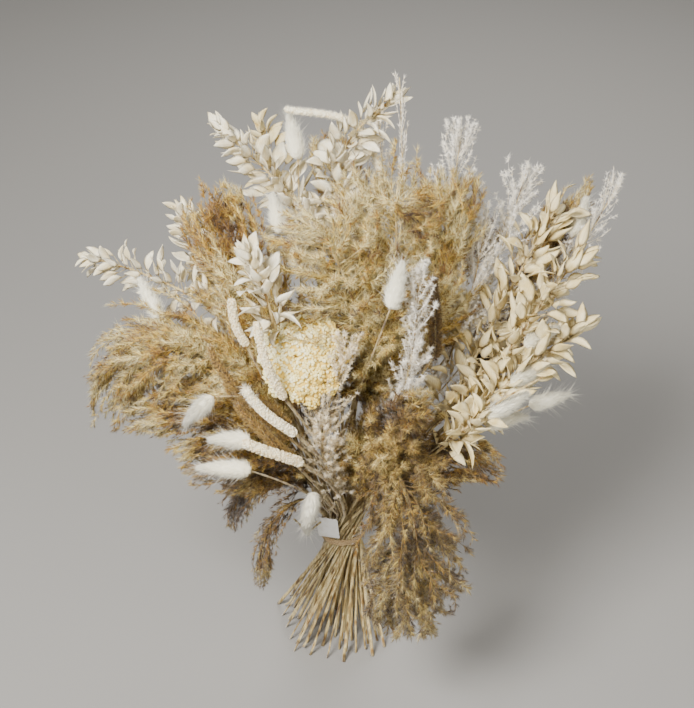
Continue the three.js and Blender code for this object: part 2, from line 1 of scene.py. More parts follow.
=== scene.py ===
"""A bundle of dried pampas grass and flowers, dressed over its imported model.

Each plant is one piece.  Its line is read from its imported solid, its stem is a tube along that
line, and its head is grown from small shapes that are modelled once and copied many times.
"""

import functools
import heapq
import logging
import math
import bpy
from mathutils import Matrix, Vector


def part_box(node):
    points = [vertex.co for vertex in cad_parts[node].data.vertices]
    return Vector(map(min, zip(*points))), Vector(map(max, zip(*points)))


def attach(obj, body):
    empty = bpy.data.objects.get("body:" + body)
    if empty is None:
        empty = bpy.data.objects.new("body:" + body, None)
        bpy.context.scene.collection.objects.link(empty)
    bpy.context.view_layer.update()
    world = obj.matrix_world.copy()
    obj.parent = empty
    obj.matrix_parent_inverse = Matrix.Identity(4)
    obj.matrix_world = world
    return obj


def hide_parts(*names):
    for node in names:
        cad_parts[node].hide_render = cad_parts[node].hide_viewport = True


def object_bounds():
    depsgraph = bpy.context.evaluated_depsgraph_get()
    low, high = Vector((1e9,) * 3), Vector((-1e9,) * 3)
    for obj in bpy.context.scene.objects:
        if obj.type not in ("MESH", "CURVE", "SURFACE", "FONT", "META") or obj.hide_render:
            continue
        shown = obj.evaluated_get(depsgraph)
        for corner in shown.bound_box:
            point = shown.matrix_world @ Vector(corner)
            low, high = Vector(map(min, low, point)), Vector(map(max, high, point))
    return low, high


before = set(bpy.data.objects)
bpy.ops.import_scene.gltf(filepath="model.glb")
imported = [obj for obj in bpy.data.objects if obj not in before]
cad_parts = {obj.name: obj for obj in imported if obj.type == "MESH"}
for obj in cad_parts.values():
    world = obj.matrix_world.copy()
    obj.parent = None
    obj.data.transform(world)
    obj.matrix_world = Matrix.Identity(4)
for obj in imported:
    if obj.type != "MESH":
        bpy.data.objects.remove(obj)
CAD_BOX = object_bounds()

import zlib
from dataclasses import dataclass
from enum import Enum
from typing import Any, Callable, ClassVar, Sequence

import bmesh
import bpy
import numpy as np
from mathutils import Matrix, Vector

LOG = logging.getLogger("bundle")

MM = 0.001
FULL_TURN = 2.0 * math.pi
GOLDEN_ANGLE = math.radians(137.50776)
# The surface map keeps stems left of STEM_BAND and heads right of HEAD_BAND, in columns of tones.
STEM_BAND = 0.12
HEAD_BAND = 0.15
TONES = 16
FAMILY = 8
UP = np.array((0.0, 0.0, 1.0))
TIE_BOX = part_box("tie")
WAIST = (TIE_BOX[0][2] + TIE_BOX[1][2]) / 2.0
HEADS_FROM = TIE_BOX[1][2] + 30.0 * MM
MAP_NAME = "OFBake"
ROW_FOOT = 0.01
ROW_HEIGHT = 0.48
TWIG_RINGS = 5
TWIG_THINNING = 0.84
GROUND = 0.2 * MM
MERGE = 0.02 * MM
HEAD_SAMPLES = 96
STEM_SAMPLES = 56
FLOOR_MARGIN = 12.0 * MM
PULL_IN = 0.9
WAVES = 5
WAVE_SCALE = 2.2
TUFT_HAIRS = 5
TUFT_SEEDS = 2
TUFT_KINDS = 8
BUNCH_KINDS = 4


class Row(Enum):
    """The half of the surface map that a part of a small shape uses."""

    HAIR = 0.0
    SEED = 0.5


class Coat(Enum):
    """What covers a cream stick."""

    VELVET = "velvet"
    FUZZ = "fuzz"
    TUFTED = "tufted"


class Spray(Enum):
    """How a fine wispy stem branches."""

    AIRY = "airy"
    FERN = "fern"
    CURLY = "curly"


# ---------------------------------------------------------------------------------------------
# Shader sheets
# ---------------------------------------------------------------------------------------------


def maths(operation: str, swapped: bool = False) -> Callable[..., "Signal"]:
    """Return a method that puts a signal and another number through one Math node.

    Args:
        operation: The node's operation.
        swapped: Whether the other number comes first.

    Returns:
        The method.
    """

    def method(self: "Signal", other: Any = 0.0) -> "Signal":
        """Return the Math node's output."""
        first, second = (other, self) if swapped else (self, other)
        return self.sheet.node("ShaderNodeMath", {"operation": operation}, {0: first, 1: second})

    return method


class Signal:
    """A shader output that is added, multiplied and compared like a number."""

    def __init__(self, sheet: "Sheet", output: bpy.types.NodeSocket) -> None:
        """Keep the sheet that the output belongs to, and the output."""
        self.sheet = sheet
        self.output = output

    __add__ = maths("ADD")
    __radd__ = maths("ADD", swapped=True)
    __sub__ = maths("SUBTRACT")
    __rsub__ = maths("SUBTRACT", swapped=True)
    __mul__ = maths("MULTIPLY")
    __rmul__ = maths("MULTIPLY", swapped=True)
    __mod__ = maths("MODULO")
    __pow__ = maths("POWER")
    __gt__ = maths("GREATER_THAN")
    size = maths("ABSOLUTE")
    sine = maths("SINE")

    def clamped(self) -> "Signal":
        """Return the signal held between 0 and 1."""
        return self.sheet.node("ShaderNodeClamp", {}, {"Value": self}, "Result")


class Sheet:
    """One material's nodes."""

    def __init__(self, name: str) -> None:
        """Start a material with an empty sheet.

        Args:
            name: What the material is called.
        """
        self.material = bpy.data.materials.new(name)
        self.material.use_nodes = True
        self.tree = self.material.node_tree
        self.tree.nodes.clear()

    def node(self, kind: str, settings: dict, inputs: dict, output: Any = 0) -> Signal:
        """Add one node.

        Args:
            kind: The node's type.
            settings: Its own settings, which are set first.  "stops" holds a ramp's stops.
            inputs: Numbers, colours or signals, by socket name or number.
            output: The output to return, by name or number.

        Returns:
            The output as a signal.
        """
        made = self.tree.nodes.new(kind)
        for key, value in settings.items():
            if key == "stops":
                self._set_stops(made.color_ramp, value)
            elif key == "blend":
                made.color_ramp.interpolation = value
            else:
                setattr(made, key, value)
        for key, value in inputs.items():
            if isinstance(value, Signal):
                self.tree.links.new(value.output, made.inputs[key])
            else:
                made.inputs[key].default_value = value
        return Signal(self, made.outputs[output])

    @staticmethod
    def _set_stops(ramp: bpy.types.ColorRamp, stops: Sequence[tuple]) -> None:
        """Give a ramp its stops, each a place and a linear colour."""
        while len(ramp.elements) < len(stops):
            ramp.elements.new(1.0)
        for element, (place, colour) in zip(ramp.elements, stops):
            element.position = place
            element.color = (*colour, 1.0)

    def ramp(self, factor: Signal, stops: Sequence[tuple], blend: str = "LINEAR") -> Signal:
        """Return a colour from a ramp over a factor."""
        settings = {"stops": stops, "blend": blend}
        return self.node("ShaderNodeValToRGB", settings, {"Fac": factor}, "Color")

    def mix(self, factor: Any, first: Any, second: Any, how: str = "MIX") -> Signal:
        """Return two colours mixed by a factor."""
        settings = {"data_type": "RGBA", "blend_type": how, "clamp_factor": True}
        return self.node("ShaderNodeMix", settings, {0: factor, 6: first, 7: second}, 2)

    def noise(self, where: Signal, scale: float, detail: float = 2.0, rough: float = 0.5) -> Signal:
        """Return a noise between 0 and 1 over a place."""
        values = {"Vector": where, "Scale": scale, "Detail": detail, "Roughness": rough}
        return self.node("ShaderNodeTexNoise", {}, values, "Fac")

    def surface_map(self) -> Signal:
        """Return the piece's own surface map."""
        return self.node("ShaderNodeUVMap", {"uv_map": MAP_NAME}, {}, "UV")

    def place(self) -> Signal:
        """Return the place on the object, in metres."""
        return self.node("ShaderNodeTexCoord", {}, {}, "Object")

    def axis(self, vector: Signal, name: str) -> Signal:
        """Return one axis of a vector."""
        return self.node("ShaderNodeSeparateXYZ", {}, {"Vector": vector}, name)

    def stretched(self, vector: Signal, scale: tuple) -> Signal:
        """Return a vector scaled by axis."""
        settings = {"operation": "MULTIPLY"}
        return self.node("ShaderNodeVectorMath", settings, {0: vector, 1: scale}, "Vector")

    def bump(self, height: Signal, distance: float, strength: float) -> Signal:
        """Return a normal from a height."""
        values = {"Height": height, "Distance": distance, "Strength": strength}
        return self.node("ShaderNodeBump", {}, values, "Normal")

    def close(self, colour: Any, constants: dict, varying: dict | None = None) -> bpy.types.Material:
        """End the sheet in a shader.

        Args:
            colour: The base colour, as a signal or a constant.
            constants: Numbers for the shader's own sockets.
            varying: Signals for Roughness or Normal.

        Returns:
            The finished material.
        """
        inputs = {"Base Color": colour, **constants, **(varying or {})}
        shader = self.node("ShaderNodeBsdfPrincipled", {}, inputs, "BSDF")
        end = self.tree.nodes.new("ShaderNodeOutputMaterial")
        self.tree.links.new(shader.output, end.inputs["Surface"])
        return self.material


@functools.cache
def material_of(finish: Any) -> bpy.types.Material:
    """Return a finish's material, made once."""
    return finish.material()


def linear(red: float, green: float, blue: float) -> tuple:
    """Return a display colour of 0 to 255 as linear light.

    Args:
        red: The red part.
        green: The green part.
        blue: The blue part.

    Returns:
        The three parts in linear light.
    """
    out = []
    for value in (red, green, blue):
        share = value / 255.0
        out.append(share / 12.92 if share <= 0.04045 else ((share + 0.055) / 1.055) ** 2.4)
    return tuple(out)


# ---------------------------------------------------------------------------------------------
# Finishes
# ---------------------------------------------------------------------------------------------


@dataclass(frozen=True)
class StemFinish:
    """Dried straw: long fibres, paler and browner stems, and ochre joints."""

    pale: tuple = (222, 205, 152)
    straw: tuple = (170, 146, 90)
    brown: tuple = (92, 68, 32)
    ochre: tuple = (160, 118, 50)

    def colour(self, sheet: Sheet) -> Signal:
        """Return the colour of a stem over its own length.

        Args:
            sheet: The sheet that the nodes join.

        Returns:
            The colour.
        """
        where = sheet.place()
        chosen = sheet.noise(sheet.stretched(where, (1.0, 1.0, 0.04)), 180.0, 1.0)
        stops = (
            (0.30, linear(*self.brown)),
            (0.42, linear(*self.straw)),
            (0.56, linear(*self.pale)),
            (0.74, linear(*self.ochre)),
        )
        base = sheet.ramp(chosen, stops)
        fibre = sheet.noise(sheet.stretched(where, (1.0, 1.0, 0.05)), 1500.0, 2.0)
        streaked = sheet.mix((fibre - 0.42) * 1.6, base, (*linear(*self.brown), 1.0))
        joints = sheet.noise(sheet.stretched(where, (0.4, 0.4, 1.0)), 38.0, 3.0)
        return sheet.mix((joints - 0.52) * 1.8, streaked, (*linear(*self.ochre), 1.0))

    def material(self) -> bpy.types.Material:
        """Return the finish as a material of its own, for stems without a head."""
        sheet = Sheet("dried_straw")
        return sheet.close(self.colour(sheet), {"Roughness": 0.85, "Sheen Weight": 0.2})


@dataclass(frozen=True)
class StrandFinish:
    """Fine strands: two runs of eight tones, and a tint for the seeds between them."""

    name: str
    taupe: tuple
    gold: tuple
    seed: tuple = (0.40, 0.31, 0.17)
    root: tuple = (0.76, 0.69, 0.58)
    roughness: float = 0.85
    sheen: float = 0.25
    stem: StemFinish = StemFinish()

    def material(self) -> bpy.types.Material:
        """Return the finish as a material.

        Returns:
            The material.
        """
        sheet = Sheet(self.name)
        along = sheet.surface_map()
        across = sheet.axis(along, "X")
        up = sheet.axis(along, "Y")
        step = (1.0 - HEAD_BAND) / TONES
        tones = (*self.taupe, *self.gold)
        stops = [(HEAD_BAND + step * k, linear(*tone)) for k, tone in enumerate(tones)]
        stops[0] = (0.0, stops[0][1])
        tone = sheet.ramp(across, stops, "CONSTANT")
        rise = (up % 0.5) * 2.0
        tipped = sheet.mix(rise, sheet.mix(1.0, tone, (*self.root, 1.0), "MULTIPLY"), tone)
        seeded = sheet.mix(1.0, tipped, (*self.seed, 1.0), "MULTIPLY")
        head = sheet.mix(up > 0.5, tipped, seeded)
        whole = sheet.mix(across > STEM_BAND + 0.01, self.stem.colour(sheet), head)
        constants = {"Roughness": self.roughness, "Sheen Weight": self.sheen}
        return sheet.close(whole, constants)


@dataclass(frozen=True)
class LeafFinish:
    """A bleached leaf: fine veins from a pale midrib, mottled cream, a browner foot."""

    name: str
    pale: tuple
    warm: tuple
    foot: tuple
    columns: int
    rows: int
    stem: StemFinish = StemFinish()

    def material(self) -> bpy.types.Material:
        """Return the finish as a material.

        Returns:
            The material.
        """
        sheet = Sheet(self.name)
        along = sheet.surface_map()
        across = sheet.axis(along, "X")
        up = sheet.axis(along, "Y")
        side = ((across - HEAD_BAND) * (self.columns / (1.0 - HEAD_BAND))) % 1.0
        rise = (up * float(self.rows)) % 1.0
        place = sheet.place()
        mottled = sheet.noise(place, 90.0, 3.0)
        base = sheet.ramp(mottled, ((0.35, linear(*self.warm)), (0.60, linear(*self.pale))))
        off_rib = (side - 0.5).size()
        veins = ((rise * 60.0 - off_rib * 46.0).sine() * 0.5 + 0.5) ** 3.0
        veined = sheet.mix(veins * 0.22, base, (*linear(*self.foot), 1.0))
        rib = (1.0 - off_rib * 18.0).clamped()
        ribbed = sheet.mix(rib * 0.55, veined, (*linear(*self.warm), 1.0))
        footed = sheet.mix((0.22 - rise) * 3.0, ribbed, (*linear(*self.foot), 1.0))
        whole = sheet.mix(across > STEM_BAND + 0.01, self.stem.colour(sheet), footed)
        height = rib * 1.4 - veins * 0.5 + mottled
        grain = sheet.noise(place, 900.0, 2.0)
        varying = {
            "Normal": sheet.bump(height, 0.25 * MM, 0.5),
            "Roughness": 0.52 + grain * 0.25,
        }
        return sheet.close(whole, {"Sheen Weight": 0.1}, varying)


@dataclass(frozen=True)
class TwineFinish:
    """Jute twine: twisted fibres, dark between the plies."""

    name: str = "jute_twine"
    light: tuple = (200, 174, 130)
    dark: tuple = (120, 90, 54)

    def material(self) -> bpy.types.Material:
        """Return the finish as a material.

        Returns:
            The material.
        """
        sheet = Sheet(self.name)
        place = sheet.place()
        fibre = sheet.noise(sheet.stretched(place, (1.0, 1.0, 3.0)), 900.0, 4.0)
        stops = ((0.35, linear(*self.dark)), (0.60, linear(*self.light)))
        varying = {"Normal": sheet.bump(fibre, 0.3 * MM, 0.7), "Roughness": 0.75 + fibre * 0.2}
        return sheet.close(sheet.ramp(fibre, stops), {"Sheen Weight": 0.2}, varying)


@dataclass(frozen=True)
class CardFinish:
    """A blank card label: white stock with a faint tooth and soft marks of handling."""

    name: str = "white_card"
    white: tuple = (252, 252, 250)
    worn: tuple = (238, 236, 230)

    def material(self) -> bpy.types.Material:
        """Return the finish as a material.

        Returns:
            The material.
        """
        sheet = Sheet(self.name)
        place = sheet.place()
        tooth = sheet.noise(place, 1400.0, 3.0)
        wear = sheet.noise(place, 120.0, 2.0)
        stops = ((0.45, linear(*self.white)), (0.75, linear(*self.worn)))
        varying = {"Normal": sheet.bump(tooth, 0.05 * MM, 0.4), "Roughness": 0.5 + wear * 0.2}
        return sheet.close(sheet.ramp(wear, stops), {"Specular IOR Level": 0.4}, varying)


@dataclass(frozen=True)
class FloorFinish:
    """A plain pale studio floor."""

    name: str = "studio_floor"
    tone: tuple = (146, 145, 143)

    def material(self) -> bpy.types.Material:
        """Return the finish as a material."""
        sheet = Sheet(self.name)
        return sheet.close((*linear(*self.tone), 1.0), {"Roughness": 0.9})


PAMPAS_FINISH = StrandFinish(
    name="pampas_plume",
    taupe=(
        (60, 45, 22), (86, 67, 34), (112, 90, 46), (138, 114, 60),
        (164, 141, 78), (190, 168, 98), (214, 195, 126), (238, 223, 162),
    ),
    gold=(
        (84, 56, 12), (120, 85, 20), (155, 116, 33), (187, 148, 51),
        (214, 180, 78), (234, 208, 112), (247, 231, 150), (254, 245, 190),
    ),
)
TAIL_FINISH = StrandFinish(
    name="bunny_tail",
    taupe=(
        (196, 180, 140), (210, 197, 158), (221, 210, 176), (230, 221, 191),
        (237, 230, 203), (243, 238, 214), (248, 244, 224), (251, 249, 233),
    ),
    gold=(
        (206, 178, 114), (218, 194, 134), (228, 209, 156), (236, 221, 176),
        (242, 231, 192), (247, 239, 207), (250, 245, 219), (253, 250, 230),
    ),
    root=(0.92, 0.90, 0.86),
    sheen=0.5,
)
STICK_FINISH = StrandFinish(
    name="cream_catkin",
    taupe=(
        (186, 164, 116), (202, 182, 136), (216, 199, 156), (228, 213, 174),
        (237, 225, 190), (244, 235, 205), (249, 243, 219), (252, 249, 232),
    ),
    gold=(
        (190, 152, 84), (208, 174, 108), (222, 194, 132), (233, 209, 154),
        (241, 222, 174), (247, 232, 193), (251, 241, 210), (254, 248, 226),
    ),
    seed=(0.92, 0.88, 0.80),
    root=(0.90, 0.86, 0.78),
    sheen=0.35,
)
SPIKE_FINISH = StrandFinish(
    name="brown_foxtail",
    taupe=(
        (56, 42, 20), (78, 60, 30), (100, 79, 41), (124, 100, 54),
        (147, 122, 70), (168, 144, 88), (189, 166, 110), (208, 188, 136),
    ),
    gold=(
        (68, 48, 18), (94, 70, 28), (121, 94, 38), (149, 119, 52),
        (176, 146, 68), (199, 171, 88), (218, 193, 112), (234, 213, 142),
    ),
    seed=(0.72, 0.62, 0.48),
)
YARROW_FINISH = StrandFinish(
    name="cream_yarrow",
    taupe=(
        (156, 124, 44), (178, 148, 62), (198, 172, 84), (215, 194, 108),
        (230, 213, 134), (241, 228, 160), (248, 240, 186), (253, 249, 210),
    ),
    gold=(
        (170, 122, 28), (192, 148, 44), (211, 173, 64), (227, 195, 90),
        (239, 214, 118), (247, 230, 148), (252, 242, 178), (254, 250, 206),
    ),
    seed=(0.82, 0.74, 0.56),
    root=(0.86, 0.80, 0.66),
    sheen=0.1,
)
WISP_FINISH = StrandFinish(
    name="bleached_fern",
    taupe=(
        (150, 128, 92), (176, 156, 120), (198, 182, 150), (214, 202, 176),
        (227, 218, 198), (237, 230, 216), (245, 241, 231), (250, 248, 243),
    ),
    gold=(
        (150, 112, 60), (178, 142, 84), (200, 170, 112), (216, 192, 142),
        (229, 211, 170), (239, 226, 194), (246, 238, 216), (251, 247, 234),
    ),
    seed=(0.9, 0.84, 0.72),
    root=(0.92, 0.89, 0.84),
    sheen=0.1,
)
LEAF_COLUMNS = 10
LEAF_ROWS = 12
WHITE_LEAF = LeafFinish(
    "bleached_ruscus", (248, 243, 222), (232, 218, 176), (188, 160, 100), LEAF_COLUMNS, LEAF_ROWS
)
CREAM_LEAF = LeafFinish(
    "cream_ruscus", (243, 230, 184), (222, 201, 140), (176, 140, 76), LEAF_COLUMNS, LEAF_ROWS
)


# ---------------------------------------------------------------------------------------------
# Small shapes and the pile that they are copied into
# ---------------------------------------------------------------------------------------------


@dataclass(frozen=True)
class Template:
    """A small shape that is copied many times."""

    points: np.ndarray
    triangles: np.ndarray
    surface: np.ndarray

    @classmethod
    def take(cls, work: bmesh.types.BMesh) -> "Template":
        """Turn a finished bmesh into arrays and free it.

        Args:
            work: The shape, with its surface map in its first UV layer.

        Returns:
            The template.
        """
        bmesh.ops.triangulate(work, faces=work.faces[:])
        work.verts.index_update()
        layer = work.loops.layers.uv.verify()
        points = np.array([vert.co[:] for vert in work.verts])
        triangles = np.array([[loop.vert.index for loop in face.loops] for face in work.faces])
        surface = np.array([[loop[layer].uv[:] for loop in face.loops] for face in work.faces])
        work.free()
        return cls(points, triangles, surface)


class Pile:
    """Collects copies of templates and becomes one mesh."""

    def __init__(self) -> None:
        """Start empty."""
        self.points: list[np.ndarray] = []
        self.triangles: list[np.ndarray] = []
        self.surface: list[np.ndarray] = []
        self.total = 0

    def add(self, template: Template, points: np.ndarray, cells: np.ndarray) -> None:
        """Add copies of a template.

        Args:
            template: The shape.
            points: Its corners in each copy, copies by corners by 3.
            cells: For each copy its part of the map, as u, v, width and height.
        """
        copies, corners, _ = points.shape
        start = self.total + np.arange(copies)[:, None, None] * corners
        self.triangles.append((template.triangles[None] + start).reshape(-1, 3))
        mapped = template.surface[None] * cells[:, None, None, 2:] + cells[:, None, None, :2]
        self.surface.append(mapped.reshape(-1, 2))
        self.points.append(points.reshape(-1, 3))
        self.total += copies * corners

    def once(self, template: Template, left: float, width: float) -> None:
        """Add a template where it is, in a part of the map's width."""
        self.add(template, template.points[None], map_cells(left, 0.0, width, 1.0))

    def scatter(self, shapes: Sequence[Template], pick: Any, places: tuple, cells: np.ndarray) -> None:
        """Add copies of several templates.

        Args:
            shapes: The templates.
            pick: The number of the template that each copy uses.
            places: The origin, the frame and the size by axis of each copy.
            cells: For each copy its part of the map.
        """
        for number, shape in enumerate(shapes):
            mine = pick == number
            self.add(shape, placed(shape, *(part[mine] for part in places)), cells[mine])

    def bend(self, bends: "Bends", width: float, cells: np.ndarray) -> None:
        """Add one twig of a width along every curve."""
        twig = Shapes.twig()
        self.add(twig, bends.tubes(twig, np.full(len(bends.root), width)), cells)

    def mesh(self, name: str) -> bpy.types.Mesh:
        """Return the pile as a mesh with its surface map.

        Args:
            name: What the mesh is called.

        Returns:
            The mesh.
        """
        points = np.concatenate(self.points)
        points[:, 2] = np.maximum(points[:, 2], 0.0)
        triangles = np.concatenate(self.triangles)
        surface = np.concatenate(self.surface)
        made = bpy.data.meshes.new(name)
        made.vertices.add(len(points))
        made.vertices.foreach_set("co", points.ravel())
        made.loops.add(len(triangles) * 3)
        made.loops.foreach_set("vertex_index", triangles.ravel().astype(np.int32))
        made.polygons.add(len(triangles))
        made.polygons.foreach_set("loop_start", np.arange(len(triangles), dtype=np.int32) * 3)
        made.polygons.foreach_set("use_smooth", np.ones(len(triangles), dtype=bool))
        made.uv_layers.new(name=MAP_NAME).data.foreach_set("uv", surface.ravel())
        made.update(calc_edges=True)
        return made


def map_cells(left: Any, foot: Any, width: Any, height: Any) -> np.ndarray:
    """Return parts of the map, copies by 4, from single numbers or one for each copy."""
    sides = [np.atleast_1d(side) for side in (left, foot, width, height)]
    return np.stack(np.broadcast_arrays(*sides), axis=1).astype(float)


def tone_cells(tones: np.ndarray, families: np.ndarray) -> np.ndarray:
    """Return the part of the map that holds each tone.

    Args:
        tones: From 0, the darkest, to 1.
        families: 0 for taupe, 1 for gold.

    Returns:
        Copies by 4: u, v, width and height.
    """
    step = (1.0 - HEAD_BAND) / TONES
    column = np.clip((tones * FAMILY).astype(int), 0, FAMILY - 1) + families.astype(int) * FAMILY
    return map_cells(HEAD_BAND + step * (column + 0.04), 0.0, step * 0.92, 1.0)


def unit(vectors: np.ndarray) -> np.ndarray:
    """Return vectors at length 1."""
    return vectors / np.maximum(np.linalg.norm(vectors, axis=-1, keepdims=True), 1e-12)


def tilted(ahead: np.ndarray, side: np.ndarray, lean: np.ndarray) -> np.ndarray:
    """Return each direction turned towards its side by an angle in radians."""
    return ahead * np.cos(lean)[:, None] + side * np.sin(lean)[:, None]


def frames_on(directions: np.ndarray, turns: np.ndarray) -> np.ndarray:
    """Return a frame on each direction.

    Args:
        directions: Copies by 3, which the third axis follows.
        turns: How far each frame is turned about its direction, in radians.

    Returns:
        Copies by 3 by 3, with the axes as columns.
    """
    upright = unit(directions)
    helper = np.where(np.abs(upright[:, 2:3]) > 0.9, (1.0, 0.0, 0.0), (0.0, 0.0, 1.0))
    side = unit(np.cross(helper, upright))
    other = np.cross(upright, side)
    return np.stack((tilted(side, other, turns), tilted(other, -side, turns), upright), axis=2)


def spun(directions: np.ndarray, rng: np.random.Generator) -> np.ndarray:
    """Return a frame on each direction, turned about it at random."""
    return frames_on(directions, rng.uniform(0.0, FULL_TURN, len(directions)))


def placed(template: Template, origins: np.ndarray, axes: np.ndarray, scales: np.ndarray) -> np.ndarray:
    """Return a template's corners in each place.

    Args:
        template: The shape.
        origins: Where each copy's own origin goes.
        axes: Each copy's frame.
        scales: Each copy's size by axis, copies by 3.

    Returns:
        Copies by corners by 3.
    """
    local = template.points[None] * scales[:, None, :]
    return np.einsum("nij,nkj->nki", axes, local) + origins[:, None]


@dataclass
class Bends:
    """A set of curves of one bend each, for twigs."""

    root: np.ndarray
    middle: np.ndarray
    tip: np.ndarray

    def at(self, which: np.ndarray, share: np.ndarray) -> tuple[np.ndarray, np.ndarray]:
        """Return points and directions along chosen curves.

        Args:
            which: The curve's number for each point.
            share: How far along it, from 0 to 1.

        Returns:
            The points and the unit directions.
        """
        share = share[:, None]
        first, second, third = self.root[which], self.middle[which], self.tip[which]
        rest = 1.0 - share
        points = first * rest**2 + second * (2.0 * rest * share) + third * share**2
        return points, unit((second - first) * rest + (third - second) * share)

    def tubes(self, template: Template, widths: np.ndarray) -> np.ndarray:
        """Return a straight unit tube bent along every curve.

        Args:
            template: The tube.
            widths: The half width on each curve.

        Returns:
            Its corners, curves by corners by 3.
        """
        count, corners = len(self.root), len(template.points)
        which = np.repeat(np.arange(count), corners)
        local = np.tile(template.points, (count, 1))
        centres, ahead = self.at(which, local[:, 2])
        flat = np.cross(self.middle - self.root, self.tip - self.root)
        flat += 1e-9 * np.array((0.3, 0.5, 0.7))
        side = unit(flat)[which]
        other = unit(np.cross(ahead, side))
        width = np.repeat(widths, corners)[:, None]
        points = centres + (side * local[:, :1] + other * local[:, 1:2]) * width
        return points.reshape(count, corners, 3)


class Shapes:
    """Models the small shapes once each."""

    TUFT_HAIR: ClassVar[tuple] = ((0.0, 3.0), (8.0, 44.0), (0.22, 0.34), (8.5, 14.5))
    TUFT_SEED: ClassVar[tuple] = ((3.0, 8.0), (8.0, 44.0), (0.55, 0.75), (6.0, 9.0))

    @staticmethod
    def _chart(work: bmesh.types.BMesh, verts: list, back: Matrix, length: float, row: Row) -> None:
        """Map the sides of a pointed shape: across in u, and from foot to tip in v.

        Args:
            work: The shape.
            verts: The corners of the pointed part.
            back: The way back from its place to the origin.
            length: Its length.
            row: Its half of the surface map.
        """
        layer = work.loops.layers.uv.verify()
        faces = {face for vert in verts if vert.is_valid for face in vert.link_faces}
        for face in faces:
            edge = 0.0
            for loop in face.loops:
                rise = min(max((back @ loop.vert.co).z / length, 0.0), 1.0)
                across = 0.5
                if rise < 0.999 and (row is Row.HAIR or rise > 0.001):
                    across = edge
                    edge = 1.0 - edge
                loop[layer].uv = (across, row.value + ROW_FOOT + rise * ROW_HEIGHT)

    @classmethod
    def add_needle(
        cls, work: bmesh.types.BMesh, place: Matrix, radius: float, length: float, row: Row = Row.HAIR
    ) -> None:
        """Add a three-sided needle that stands on the origin of its place.

        Args:
            work: The shape it joins.
            place: Where it stands.
            radius: The radius of its foot.
            length: Its length.
            row: Its half of the surface map.
        """
        lift = place @ Matrix.Translation((0.0, 0.0, length / 2.0))
        made = bmesh.ops.create_cone(
            work, cap_ends=False, segments=3, radius1=radius, radius2=0.0, depth=length, matrix=lift
        )
        cls._chart(work, made["verts"], place.inverted(), length, row)

    @staticmethod
    def _finish(work: bmesh.types.BMesh) -> Template:
        """Merge doubled corners and return the shape."""
        bmesh.ops.remove_doubles(work, verts=work.verts[:], dist=1e-6)
        return Template.take(work)

    @staticmethod
    def _lean(rng: np.random.Generator, low: float, high: float) -> Matrix:
        """Return a turn to a random side, leaning between two angles in degrees."""
        lean = Matrix.Rotation(math.radians(rng.uniform(low, high)), 4, "Y")
        return Matrix.Rotation(rng.uniform(0.0, FULL_TURN), 4, "Z") @ lean

    @classmethod
    def add_leaning(
        cls, work: bmesh.types.BMesh, rng: np.random.Generator, limits: Sequence[tuple],
        unit_length: float = MM, row: Row = Row.HAIR,
    ) -> None:
        """Add one needle that leans to a random side.

        Args:
            work: The shape it joins.
            rng: The source of its measures.
            limits: The least and most of its foot's height, lean in degrees, radius and length.
            unit_length: The unit of the three lengths, in metres.
            row: Its half of the surface map.
        """
        foot, lean, radius, length = limits
        lift = Matrix.Translation((0.0, 0.0, rng.uniform(*foot) * unit_length))
        place = lift @ cls._lean(rng, *lean)
        width = rng.uniform(*radius) * unit_length
        cls.add_needle(work, place, width, rng.uniform(*length) * unit_length, row)

    @classmethod
    def tuft(cls, rng: np.random.Generator, hairs: int, seeds: int) -> Template:
        """Return a pampas tuft: soft hairs round small pointed seeds.

        Args:
            rng: The source of its differences.
            hairs: The number of hairs.
            seeds: The number of seeds.

        Returns:
            The tuft.
        """
        work = bmesh.new()
        for _ in range(hairs):
            cls.add_leaning(work, rng, cls.TUFT_HAIR)
        for _ in range(seeds):
            cls.add_leaning(work, rng, cls.TUFT_SEED, row=Row.SEED)
        return cls._finish(work)

    @classmethod
    @functools.cache
    def needle(cls) -> Template:
        """Return one needle of unit length and unit radius.

        Returns:
            The needle.
        """
        work = bmesh.new()
        cls.add_needle(work, Matrix.Identity(4), 1.0, 1.0)
        return cls._finish(work)

    @classmethod
    def bunch(cls, rng: np.random.Generator, needles: int, low: float, high: float) -> Template:
        """Return a small bunch of fern needles of about unit length.

        Args:
            rng: The source of its differences.
            needles: The number of needles.
            low: The least lean, in degrees.
            high: The greatest lean, in degrees.

        Returns:
            The bunch.
        """
        work = bmesh.new()
        for _ in range(needles):
            cls.add_leaning(work, rng, ((-0.1, 0.25), (low, high), (0.035, 0.06), (0.55, 1.0)), 1.0)
        return cls._finish(work)

    @staticmethod
    @functools.cache
    def ball(row: Row = Row.HAIR) -> Template:
        """Return a small faceted ball of unit radius.

        Args:
            row: Its half of the surface map.

        Returns:
            The ball.
        """
        work = bmesh.new()
        bmesh.ops.create_icosphere(work, subdivisions=1, radius=1.0)
        layer = work.loops.layers.uv.verify()
        for face in work.faces:
            for number, loop in enumerate(face.loops):
                rise = (loop.vert.co.z + 1.0) / 2.0
                loop[layer].uv = (number / 2.0, row.value + ROW_FOOT + rise * ROW_HEIGHT)
        return Template.take(work)

